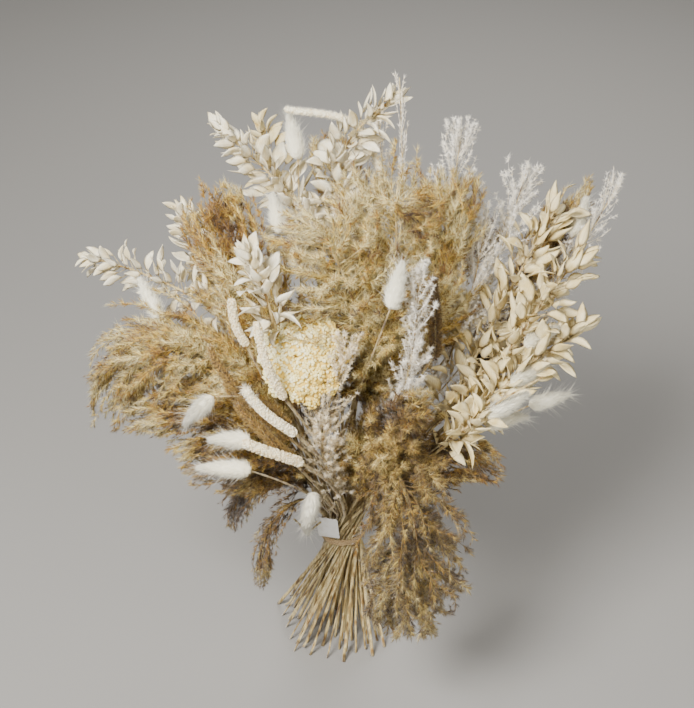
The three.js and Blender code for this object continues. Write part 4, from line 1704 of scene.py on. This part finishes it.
@dataclass
class Yarrow(BunnyTail):
    """A flat-topped head of hundreds of cream florets on forked stalks."""

    slot: ClassVar[str] = "yarrow"
    finish: ClassVar[Any] = YARROW_FINISH
    clusters: int = 46
    florets: int = 44
    tone: float = 0.62
    golden: float = 0.5
    stem_radius: float = 1.9 * MM

    STALK_RADIUS: ClassVar[float] = 0.9 * MM
    FLORET_SIZES: ClassVar[tuple] = (1.1 * MM, 1.75 * MM)
    STAMEN_RADIUS: ClassVar[float] = 0.3 * MM
    STAMEN_LENGTHS: ClassVar[tuple] = (1.2 * MM, 2.2 * MM)
    # The side of the head where the florets get painted shade.
    SHADED_SIDE: ClassVar[tuple] = (0.75, 0.1, -0.65)

    def grow_head(self, pile: Pile, head: Stretch, rng: np.random.Generator) -> None:
        """Add the stalks, the clusters of florets and their stamens.

        Args:
            pile: What the shapes join.
            head: The line of the head.
            rng: The source of the plant's differences.
        """
        low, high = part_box(self.name)
        tip, _ = head.at(np.array((1.0,)))
        lean = unit(head.centre[-1] - head.centre[len(head.centre) // 3])[None]
        flat = frames_on(lean, np.zeros(1))[0]
        across = (high[0] - low[0]) * 0.42
        middle = tip[0] - lean[0] * across * 0.62
        number = np.arange(self.clusters)
        ring = np.sqrt((number + 0.5) / self.clusters)
        turn = number * GOLDEN_ANGLE
        side = tilted(flat[:, 0], flat[:, 1], turn)
        rise = 0.46 * (1.0 - ring**2.2) + rng.normal(0.0, 0.02, self.clusters)
        tops = middle + side * (ring * across * 0.9)[:, None] + lean * (rise * across)[:, None]
        facing = unit(lean + side * (ring * 0.75)[:, None])
        root = np.repeat((middle - lean[0] * across * 1.1)[None], self.clusters, axis=0)
        bent = root * 0.5 + tops * 0.5 - side * (ring * across * 0.16)[:, None]
        stalks = Bends(root, bent, tops - facing * 1.5 * MM)
        all_gold = np.ones(self.clusters)
        pile.bend(stalks, self.STALK_RADIUS, tone_cells(np.full(self.clusters, 0.25), all_gold))
        spread = across * 0.175
        owner = np.repeat(number, self.florets)
        count = len(owner)
        part = np.sqrt(rng.random(count))
        spin = rng.uniform(0.0, FULL_TURN, count)
        axes = frames_on(facing, np.zeros(self.clusters))[owner]
        out = outward(axes, spin)
        height = spread * 0.62 * (1.0 - part**2)
        points = tops[owner] + out * (part * spread)[:, None] + facing[owner] * height[:, None]
        turned = frames_on(facing[owner] + out * part[:, None] * 0.9, spin)
        size = rng.uniform(*self.FLORET_SIZES, count)
        scales = np.stack((size, size, size * rng.uniform(0.8, 1.3, count)), axis=1)
        # Painted shade: florets darker and more ochre towards SHADED_SIDE, and darker at the rim of each
        # cluster, between the clusters.
        shade = (points - middle) @ unit(np.array(self.SHADED_SIDE)) / across
        tones = self.tone + 0.16 - 0.3 * shade - 0.28 * part**3 + rng.normal(0.0, 0.07, count)
        tones = np.clip(tones, 0.02, 0.99)
        families = (rng.random(count) < self.golden + 0.3 * shade).astype(int)
        ball = Shapes.ball()
        pile.add(ball, placed(ball, points, turned, scales), tone_cells(tones, families))
        beds = frames_on(facing, np.zeros(self.clusters))
        bed_size = np.tile((spread * 1.1, spread * 1.1, spread * 0.55), (self.clusters, 1))
        bed_cells = tone_cells(np.full(self.clusters, 0.45), all_gold)
        pile.add(ball, placed(ball, tops - facing * 1.0 * MM, beds, bed_size), bed_cells)
        chosen = rng.random(count) < 0.8
        ahead = facing[owner][chosen]
        tips = points[chosen] + ahead * 0.6 * MM
        spikes = ahead + rng.normal(0.0, 0.5, ahead.shape)
        length = rng.uniform(*self.STAMEN_LENGTHS, len(ahead))
        self.add_hairs(pile, tips, spikes, length, self.STAMEN_RADIUS, rng)


@dataclass
class Ruscus(Plant):
    """A stem of bleached pointed leaves, each with a midrib."""

    slot: ClassVar[str] = "ruscus"
    cream: bool = False
    leaves: int = 46
    leaf_length: float = 27.0 * MM
    leaf_width: float = 0.40
    spread: float = 52.0
    stalk_reach: float = 12.0 * MM
    reach: float = 1.0
    passes: int = 14

    STALK_RADIUS: ClassVar[float] = 0.55 * MM
    CURVES: ClassVar[tuple] = (
        (0.4, 0.3, 0.22), (-0.5, 0.7, 0.15), (0.8, -0.6, 0.28), (0.12, 1.0, 0.18), (-0.8, -0.6, 0.25)
    )

    def own_finish(self) -> Any:
        """Return the white or the cream leaf's finish."""
        return CREAM_LEAF if self.cream else WHITE_LEAF

    @classmethod
    @functools.cache
    def shapes(cls) -> list:
        """Return the leaf shapes, modelled once."""
        return [Shapes.leaf(*curve) for curve in cls.CURVES]

    def grow_head(self, pile: Pile, head: Stretch, rng: np.random.Generator) -> None:
        """Add the leaves, each on a short stalk.

        Args:
            pile: What the shapes join.
            head: The line of the head.
            rng: The source of the plant's differences.
        """
        count = min(self.leaves, LEAF_COLUMNS * LEAF_ROWS)
        share = np.linspace(0.03, 1.0, count) ** 0.9 * self.reach
        turn = np.arange(count) * GOLDEN_ANGLE + rng.normal(0.0, 0.25, count)
        centre, axes = head.at(share)
        out = outward(axes, turn)
        lean = np.radians(rng.normal(self.spread, 11.0, count)) * (1.0 - 0.75 * share**5)
        facing = tilted(axes[:, :, 2], out, lean)
        stalk = rng.uniform(0.15, 1.0, count) * self.stalk_reach * (1.0 - 0.75 * share**4)
        foot = centre + facing * stalk[:, None]
        stalks = Bends(centre, (centre + foot) / 2.0 + axes[:, :, 2] * 0.6 * MM, foot)
        pile.bend(stalks, self.STALK_RADIUS, map_cells(0.1, np.arange(count) / count, 0.02, 1.9 / count))
        roll = frames_on(facing, np.zeros(count))
        toward = np.sum(roll[:, :, 1] * axes[:, :, 2], axis=1)
        sideways = np.sum(roll[:, :, 0] * axes[:, :, 2], axis=1)
        axes = frames_on(facing, np.arctan2(-sideways, toward) + rng.normal(0.0, 0.45, count))
        length = self.leaf_length * rng.uniform(0.78, 1.16, count) * (1.0 - 0.25 * share**3)
        wide = length * self.leaf_width * rng.uniform(0.85, 1.2, count)
        scales = np.stack((wide, length, length), axis=1)
        step = (1.0 - HEAD_BAND) / LEAF_COLUMNS
        order = rng.permutation(LEAF_COLUMNS * LEAF_ROWS)[:count]
        left = HEAD_BAND + step * (order % LEAF_COLUMNS + 0.02)
        foot_at = (order // LEAF_COLUMNS + 0.02) / LEAF_ROWS
        cells = map_cells(left, foot_at, step * 0.96, 0.96 / LEAF_ROWS)
        shapes = self.shapes()
        pile.scatter(shapes, np.arange(count) % len(shapes), (foot, axes, scales), cells)


@dataclass
class Wisp(Plant):
    """A fine bleached spray: thin twigs set with needles."""

    slot: ClassVar[str] = "wisp"
    finish: ClassVar[Any] = WISP_FINISH
    spray: Spray = Spray.FERN
    twigs: int = 46
    fullness: float = 1.6
    bunches: int = 900
    tone: float = 0.85
    golden: float = 0.35
    stem_radius: float = 1.3 * MM
    tip_radius: float = 0.35 * MM

    NEEDLES: ClassVar[dict] = {
        Spray.AIRY: (3, 5.0, 30.0), Spray.FERN: (6, 15.0, 75.0), Spray.CURLY: (4, 20.0, 95.0)
    }
    TWIG_RADIUS: ClassVar[float] = 0.34 * MM
    TWIG_LENGTHS: ClassVar[tuple] = (18.0 * MM, 42.0 * MM)
    PAST_TIP: ClassVar[float] = 10.0 * MM
    NARROWING: ClassVar[dict] = {Spray.AIRY: 0.55, Spray.FERN: 1.0, Spray.CURLY: 1.1}
    SIZES: ClassVar[dict] = {Spray.AIRY: 5.0 * MM, Spray.FERN: 5.5 * MM, Spray.CURLY: 6.5 * MM}

    @classmethod
    @functools.cache
    def shapes(cls, spray: Spray) -> list:
        """Return the bunches of one kind of spray, modelled once."""
        rng = np.random.default_rng(5)
        return [Shapes.bunch(rng, *cls.NEEDLES[spray]) for _ in range(BUNCH_KINDS)]

    def grow_head(self, pile: Pile, head: Stretch, rng: np.random.Generator) -> None:
        """Add the twigs and the bunches of needles on them.

        Args:
            pile: What the shapes join.
            head: The line of the head.
            rng: The source of the plant's differences.
        """
        count = self.twigs
        start = 0.02 + 0.93 * rng.random(count)
        turn = np.arange(count) * GOLDEN_ANGLE + rng.normal(0.0, 0.4, count)
        narrow = self.NARROWING[self.spray]
        reach = head.radius * self.fullness * narrow * np.sqrt(rng.uniform(0.1, 1.0, count))
        reach *= 1.0 - 0.6 * start**2
        ahead = rng.uniform(*self.TWIG_LENGTHS, count) / head.length
        limit = 1.0 + self.PAST_TIP / head.length
        root, root_axes = head.at(start)
        half, half_axes = head.at(np.minimum(start + ahead * 0.5, limit))
        tip, tip_axes = head.at(np.minimum(start + ahead, limit))
        curl = rng.normal(0.0, 0.5 if self.spray is Spray.CURLY else 0.15, count)
        bends = Bends(
            root,
            held_in(half + outward(half_axes, turn) * (reach * 0.75)[:, None]),
            held_in(tip + outward(tip_axes, turn + curl) * reach[:, None]),
        )
        pile.bend(bends, self.TWIG_RADIUS, self.tints(count, 0.08, rng, -0.18))
        total = self.bunches
        which = rng.integers(0, count, total)
        share = 0.1 + 0.9 * rng.random(total) ** 0.75
        points, along = bends.at(which, share)
        lean = np.radians(rng.uniform(0.0, 40.0, total))
        facing = tilted(along, spun(along, rng)[:, :, 0], lean)
        axes = spun(facing, rng)
        size = self.SIZES[self.spray] * rng.uniform(0.6, 1.15, total)
        cells = self.tints(total, 0.1, rng)
        scales = np.repeat(size[:, None], 3, axis=1)
        pick = rng.integers(0, BUNCH_KINDS, total)
        pile.scatter(self.shapes(self.spray), pick, (points, axes, scales), cells)


# ---------------------------------------------------------------------------------------------
# The tie, the tag and the studio
# ---------------------------------------------------------------------------------------------


@dataclass
class SpareStems:
    """Thin cut stems without a head, each in the gap between three neighbours."""

    name: str = "spare_stems"
    count: int = 34
    radius: float = 1.15 * MM
    near: float = 6.0 * MM
    low_end: float = 0.19
    high_end: float = 0.30
    samples: int = 40

    def lines(self, plants: Sequence[Plant]) -> np.ndarray:
        """Return every plant's line up to the same height, plants by samples by 3.

        Args:
            plants: The plants.

        Returns:
            The lines.
        """
        heights = np.linspace(0.0, self.high_end, self.samples)
        found = []
        for plant in plants:
            line = Spine(plant.name).line
            top = int(np.argmax(line[:, 2] > self.high_end)) or len(line) - 1
            rising = line[: top + 1]
            axes = [np.interp(heights, rising[:, 2], rising[:, k]) for k in range(3)]
            found.append(np.stack(axes, axis=1))
        return np.array(found)

    def build(self, plants: Sequence[Plant]) -> bpy.types.Object:
        """Lay the stems between the plants' own.

        Args:
            plants: The plants whose stems they stand between.

        Returns:
            The finished piece.
        """
        rng = np.random.default_rng(23)
        lines = self.lines(plants)
        waist = lines[:, int(WAIST / self.high_end * (self.samples - 1))]
        apart = np.linalg.norm(waist[:, None] - waist[None], axis=2)
        close = apart < self.near
        count = len(lines)
        gaps = [
            (a, b, c)
            for a in range(count)
            for b in range(a + 1, count)
            for c in range(b + 1, count)
            if close[a, b] and close[b, c] and close[a, c]
        ]
        pile = Pile()
        for place, number in enumerate(rng.permutation(len(gaps))[: self.count]):
            end = int(rng.uniform(self.low_end, self.high_end) / self.high_end * self.samples)
            line = lines[list(gaps[number])].mean(axis=0)[:end]
            line[0, 2] = rng.uniform(0.0, 6.0) * MM
            shape = stem_tube(line, np.linspace(1.15, 0.8, end) * self.radius * rng.uniform(0.8, 1.15))
            pile.once(shape, place / self.count, 0.9 / (self.count * STEM_BAND * 0.8))
        return dressed(self.name, pile.mesh(self.name), StemFinish())


@dataclass
class TwineTie:
    """The jute twine round the waist of the bundle."""

    node: str = "tie"
    turns: int = 4
    plies: int = 2
    ply_radius: float = 0.85 * MM
    twists: float = 150.0
    margin: float = 1.6 * MM
    bearings: int = 24
    look: float = 0.25
    steps: int = 60

    def build(self) -> bpy.types.Object:
        """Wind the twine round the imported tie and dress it.

        Returns:
            The finished piece.
        """
        corners = np.array([vert.co[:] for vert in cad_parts[self.node].data.vertices])
        low, high = corners.min(axis=0), corners.max(axis=0)
        middle = (low + high) / 2.0
        off = corners[:, :2] - middle[:2]
        angle = np.arctan2(off[:, 1], off[:, 0]) % FULL_TURN
        bins = np.arange(0.0, FULL_TURN, FULL_TURN / self.bearings)
        apart = np.abs((angle - bins[:, None] + math.pi) % FULL_TURN - math.pi)
        reach = [np.linalg.norm(off[gap < self.look], axis=1).max() for gap in apart]
        count = self.turns * self.steps
        turn = np.linspace(0.0, FULL_TURN * self.turns, count)
        radius = np.interp(turn % FULL_TURN, np.append(bins, FULL_TURN), np.append(reach, reach[0]))
        radius -= self.ply_radius * 2.0
        height = np.linspace(low[2] + self.margin, high[2] - self.margin, count)
        across, deep = middle[0] + radius * np.cos(turn), middle[1] + radius * np.sin(turn)
        line = np.stack((across, deep, height), axis=1)
        stretch = Stretch.along(line, 0.0, count * 2)
        pile = Pile()
        spin = np.linspace(0.0, self.twists, count * 2)
        for ply in range(self.plies):
            shift = outward(stretch.axes, spin + FULL_TURN * ply / self.plies)
            path = stretch.centre + shift * self.ply_radius * 0.75
            shape = stem_tube(path, np.full(count * 2, self.ply_radius), 6)
            pile.once(shape, ply / self.plies, 5.0)
        return dressed("twine_tie", pile.mesh("twine_tie"), TwineFinish(), self.node)


@dataclass
class CardTag:
    """The blank card label that hangs by the tie."""

    node: str = "tag"
    corner: float = 1.6 * MM
    curve: float = 0.8 * MM

    def build(self) -> bpy.types.Object:
        """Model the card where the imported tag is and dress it.

        Returns:
            The finished piece.
        """
        corners = np.array([vert.co[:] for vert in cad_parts[self.node].data.vertices])
        middle = (corners.min(axis=0) + corners.max(axis=0)) / 2.0
        _, _, axes = np.linalg.svd(corners - corners.mean(axis=0), full_matrices=False)
        upright = axes[0] * math.copysign(1.0, axes[0][2])
        front = axes[2] * math.copysign(1.0, -axes[2][1])
        turned = np.stack((np.cross(upright, front), -front, upright), axis=1)
        size = Vector(np.ptp((corners - middle) @ turned, axis=0))
        place = Matrix.Translation(middle.tolist()) @ Matrix(turned.tolist()).to_4x4()
        work = bmesh.new()
        bmesh.ops.create_cube(work, size=1.0)
        bmesh.ops.scale(work, vec=size, verts=work.verts[:])
        edges = [
            edge for edge in work.edges
            if abs(edge.verts[0].co.y - edge.verts[1].co.y) > size.y * 0.9
        ]
        bmesh.ops.bevel(
            work, geom=edges, offset=self.corner, offset_type="OFFSET", segments=3,
            profile=0.5, affect="EDGES", material=-1,
        )
        for share in np.linspace(-0.4, 0.4, 7):
            bmesh.ops.bisect_plane(
                work, geom=work.verts[:] + work.edges[:] + work.faces[:],
                plane_co=(0.0, 0.0, size.z * share), plane_no=(0.0, 0.0, 1.0),
            )
        for vert in work.verts:
            vert.co.y -= self.curve * math.cos(math.pi * vert.co.z / size.z)
        bmesh.ops.transform(work, matrix=place, verts=work.verts[:])
        bmesh.ops.recalc_face_normals(work, faces=work.faces[:])
        made = bpy.data.meshes.new("card_tag")
        work.to_mesh(made)
        work.free()
        return dressed("card_tag", made, CardFinish(), self.node)


@dataclass
class Studio:
    """A plain pale floor, soft light and the camera."""

    distance: float = 1.5
    tilt: float = math.radians(36.0)
    focal: float = 76.27
    aim: tuple = (0.005, 0.0, 0.236)
    floor_size: float = 9.0
    world: tuple = (196, 194, 190)
    world_strength: float = 0.32

    LAMPS: ClassVar[tuple] = (
        ("key", (-0.7, -1.1, 1.8), 0.7, 92.0),
        ("fill", (1.3, -1.5, 0.9), 1.2, 22.0),
        ("rim", (0.3, 1.5, 1.6), 1.0, 26.0),
    )
    LAMP_COLOUR: ClassVar[tuple] = (1.0, 0.965, 0.91)
    LAMP_AIM: ClassVar[tuple] = (0.0, 0.0, 0.3)

    def camera(self) -> None:
        """Put the camera in front of the bundle, looking down at it."""
        low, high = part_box("tie")
        target = (low + high) / 2.0 + Vector(self.aim)
        sight = Vector((0.0, math.cos(self.tilt), -math.sin(self.tilt)))
        data = bpy.data.cameras.new("camera")
        data.lens = self.focal
        camera = bpy.data.objects.new("camera", data)
        camera.location = target - sight * self.distance
        camera.rotation_euler = sight.to_track_quat("-Z", "Y").to_euler()
        bpy.context.scene.collection.objects.link(camera)
        bpy.context.scene.camera = camera

    def lamp(self, name: str, place: tuple, size: float, power: float) -> None:
        """Add one soft lamp that points at the bundle.

        Args:
            name: What the lamp is called.
            place: Where it stands.
            size: The width of its square.
            power: Its power, in watts.
        """
        data = bpy.data.lights.new(name, "AREA")
        data.size = size
        data.energy = power
        data.color = self.LAMP_COLOUR
        lamp = bpy.data.objects.new(name, data)
        lamp.location = place
        sight = Vector(self.LAMP_AIM) - Vector(place)
        lamp.rotation_euler = sight.to_track_quat("-Z", "Y").to_euler()
        bpy.context.scene.collection.objects.link(lamp)

    def build(self) -> None:
        """Add the floor, the lamps and the sky."""
        work = bmesh.new()
        bmesh.ops.create_grid(work, x_segments=2, y_segments=2, size=self.floor_size)
        made = bpy.data.meshes.new("floor")
        work.to_mesh(made)
        work.free()
        floor = bpy.data.objects.new("floor", made)
        floor.location = (0.0, 0.0, -0.0005)
        made.materials.append(FloorFinish().material())
        bpy.context.scene.collection.objects.link(floor)
        for lamp in self.LAMPS:
            self.lamp(*lamp)
        world = bpy.data.worlds.new("studio")
        bpy.context.scene.world = world
        world.use_nodes = True
        sky = world.node_tree.nodes["Background"]
        sky.inputs["Color"].default_value = (*linear(*self.world), 1.0)
        sky.inputs["Strength"].default_value = self.world_strength


CROWN_WIDTHS = (0.16, 0.50, 1.0, 1.0, 0.75, 0.5)
PLUMES = (
    PampasPlume(
        "pampas_crown_mid", tufts=6600, fronds=230, fullness=1.75, frond_length=72 * MM,
        tone=0.88, golden=0.75, past_tip=42 * MM, lean=(14.0, 60.0), skirt=110 * MM,
        width_at=CROWN_WIDTHS, forward=0.66, frond_shading=-0.22, contrast=0.46, depth=0.34,
    ),
    PampasPlume(
        "pampas_crown_left", tufts=6000, fronds=210, fullness=2.0, frond_length=76 * MM,
        tone=0.94, golden=0.7, past_tip=36 * MM, lean=(14.0, 60.0), skirt=90 * MM,
        width_at=CROWN_WIDTHS, forward=0.6, frond_shading=-0.1, contrast=0.42, depth=0.34,
    ),
    PampasPlume(
        "pampas_crown_right", tufts=4000, fronds=140, fullness=1.8, frond_length=70 * MM,
        tone=0.84, golden=0.8, past_tip=24 * MM, width_at=CROWN_WIDTHS, frond_shading=-0.15, contrast=0.3,
    ),
    PampasPlume(
        "pampas_front_fall", tufts=7800, fronds=260, fullness=1.35, frond_length=52 * MM,
        tone=0.55, golden=0.15, droop=0.05, past_tip=0.0, lean=(20.0, 75.0), depth=0.1,
        contrast=0.17, frond_shading=0.3,
    ),
    PampasPlume(
        "pampas_front_rise", tufts=5800, fronds=190, fullness=1.8, frond_length=54 * MM,
        tone=0.57, golden=0.25, skirt=70 * MM, lean=(20.0, 70.0), depth=0.1,
        contrast=0.18, frond_shading=0.3,
    ),
    PampasPlume(
        "pampas_upper_left", tufts=3900, fronds=130, fullness=1.6, tone=0.62, golden=0.9,
        past_tip=36 * MM, droop=0.05, frond_shading=0.15,
    ),
    PampasPlume(
        "pampas_left_arch", tufts=6800, fronds=230, fullness=1.6, frond_length=62 * MM,
        tone=0.78, golden=0.7, droop=0.04, lean=(14.0, 60.0), frond_shading=0.1,
    ),
    PampasPlume(
        "pampas_left_low", tufts=3600, fronds=130, fullness=1.6, frond_length=66 * MM,
        tone=0.60, golden=0.6, droop=0.08,
    ),
    PampasPlume("pampas_under_left", tufts=2200, fronds=90, fullness=1.5, tone=0.44, golden=0.35),
    PampasPlume(
        "pampas_hang_side", tufts=900, fronds=50, fullness=1.3, frond_length=60 * MM,
        tone=0.46, golden=0.4, tuft_size=0.8, skirt=20 * MM,
    ),
    PampasPlume(
        "pampas_hang_left", tufts=650, fronds=40, fullness=1.2, frond_length=50 * MM,
        tone=0.44, golden=0.5, tuft_size=0.75, skirt=10 * MM,
    ),
    PampasPlume(
        "pampas_right_back", tufts=2600, fronds=100, fullness=1.3, tone=0.48, golden=0.7, past_tip=30 * MM,
    ),
    PampasPlume("pampas_right_low", tufts=1500, fronds=80, fullness=1.4, tone=0.40, golden=0.4),
    PampasPlume(
        "pampas_back_mid", tufts=2300, fronds=120, fullness=1.6, tone=0.66, golden=0.7, skirt=110 * MM,
    ),
    PampasPlume(
        "pampas_back_left", tufts=2100, fronds=110, fullness=1.5, tone=0.62, golden=0.7, skirt=80 * MM,
    ),
    PampasPlume(
        "pampas_back_right", tufts=2300, fronds=110, fullness=1.5, tone=0.54, golden=0.6, skirt=80 * MM,
    ),
)
TAILS = tuple(
    BunnyTail(f"tail_{which}", tone=tone)
    for which, tone in (
        ("top", 0.92), ("right_top", 0.92), ("centre", 0.95), ("left", 0.92), ("left_low", 0.84),
        ("pair_upper", 0.84), ("pair_lower", 0.82), ("hanging", 0.92), ("right_a", 0.88),
        ("right_b", 0.88), ("right_c", 0.84), ("right_d", 0.76), ("right_e", 0.72), ("upper_left", 0.86),
    )
)
STICKS = (
    CreamStick("stick_arch", coat=Coat.FUZZ, tone=0.9, slim=0.72),
    CreamStick("stick_short"),
    CreamStick("stick_long"),
    CreamStick("stick_tufted", coat=Coat.TUFTED, tone=0.8),
    CreamStick("stick_low"),
)
SPIKES = (
    BrownSpike("spike_hook"),
    BrownSpike("spike_mid"),
    BrownSpike("spike_low"),
    BrownSpike("spike_centre", tone=0.34, golden=0.2),
)
RUSCUS = (
    Ruscus(
        "ruscus_top_left", leaves=84, leaf_length=27 * MM, leaf_width=0.50, spread=60.0,
        stalk_reach=22 * MM, skirt=20 * MM,
    ),
    Ruscus(
        "ruscus_top_right", leaves=84, leaf_length=27 * MM, leaf_width=0.50, spread=60.0,
        stalk_reach=22 * MM, skirt=20 * MM,
    ),
    Ruscus(
        "ruscus_left_out", leaves=80, leaf_length=23 * MM, leaf_width=0.42, spread=62.0,
        stalk_reach=20 * MM,
    ),
    Ruscus(
        "ruscus_left_up", leaves=76, leaf_length=24 * MM, leaf_width=0.42, spread=62.0,
        stalk_reach=20 * MM,
    ),
    Ruscus(
        "ruscus_left_mid", leaves=46, leaf_length=27 * MM, leaf_width=0.48, spread=60.0,
        stalk_reach=16 * MM, skirt=16 * MM,
    ),
    Ruscus(
        "ruscus_right_a", cream=True, leaves=108, leaf_length=31 * MM, leaf_width=0.38, spread=56.0,
        stalk_reach=30 * MM, skirt=30 * MM, reach=0.88,
    ),
    Ruscus(
        "ruscus_right_b", cream=True, leaves=108, leaf_length=31 * MM, leaf_width=0.38, spread=56.0,
        stalk_reach=30 * MM, skirt=30 * MM, reach=0.92,
    ),
    Ruscus(
        "ruscus_right_c", cream=True, leaves=84, leaf_length=31 * MM, leaf_width=0.36, spread=48.0,
        stalk_reach=14 * MM, skirt=30 * MM, reach=0.92,
    ),
    Ruscus(
        "ruscus_right_d", cream=True, leaves=36, leaf_length=29 * MM, leaf_width=0.34, spread=46.0,
        stalk_reach=12 * MM, skirt=24 * MM, reach=0.5,
    ),
    Ruscus("ruscus_back", cream=True, leaves=60, leaf_length=28 * MM, spread=58.0, stalk_reach=20 * MM),
)
WISPS = (
    Wisp("wisp_top", spray=Spray.AIRY, bunches=650, twigs=44, fullness=2.2),
    Wisp("wisp_white", spray=Spray.FERN, bunches=2300, twigs=130, tone=0.95, skirt=30 * MM, fullness=3.4),
    Wisp("wisp_curl", spray=Spray.CURLY, bunches=2300, twigs=130, tone=0.94, skirt=30 * MM, fullness=3.8),
    Wisp("wisp_far_right", spray=Spray.CURLY, bunches=1100, twigs=90, tone=0.9, fullness=3.4),
    Wisp("wisp_centre", spray=Spray.CURLY, bunches=1500, twigs=80, tone=0.88, skirt=60 * MM, fullness=2.2),
    Wisp("wisp_fern", spray=Spray.FERN, bunches=1900, twigs=100, tone=0.84, skirt=80 * MM, fullness=2.0),
    Wisp(
        "wisp_low", spray=Spray.FERN, bunches=2300, twigs=120, tone=0.62, golden=0.7,
        skirt=40 * MM, fullness=2.4,
    ),
    Wisp("wisp_back", spray=Spray.FERN, bunches=900, twigs=60, tone=0.82, skirt=40 * MM),
)


def main() -> None:
    """Build every piece in order and report it."""
    logging.basicConfig(level=logging.INFO, format="%(message)s")
    studio = Studio()
    studio.camera()
    total = 0
    plants = (*PLUMES, *TAILS, *STICKS, *SPIKES, Yarrow("yarrow"), *RUSCUS, *WISPS)
    for plant in plants:
        total += len(plant.build().data.polygons)
    SpareStems().build(plants)
    TwineTie().build()
    CardTag().build()
    studio.build()
    LOG.info("the plants have %d triangles", total)


if __name__ == "__main__":
    main()
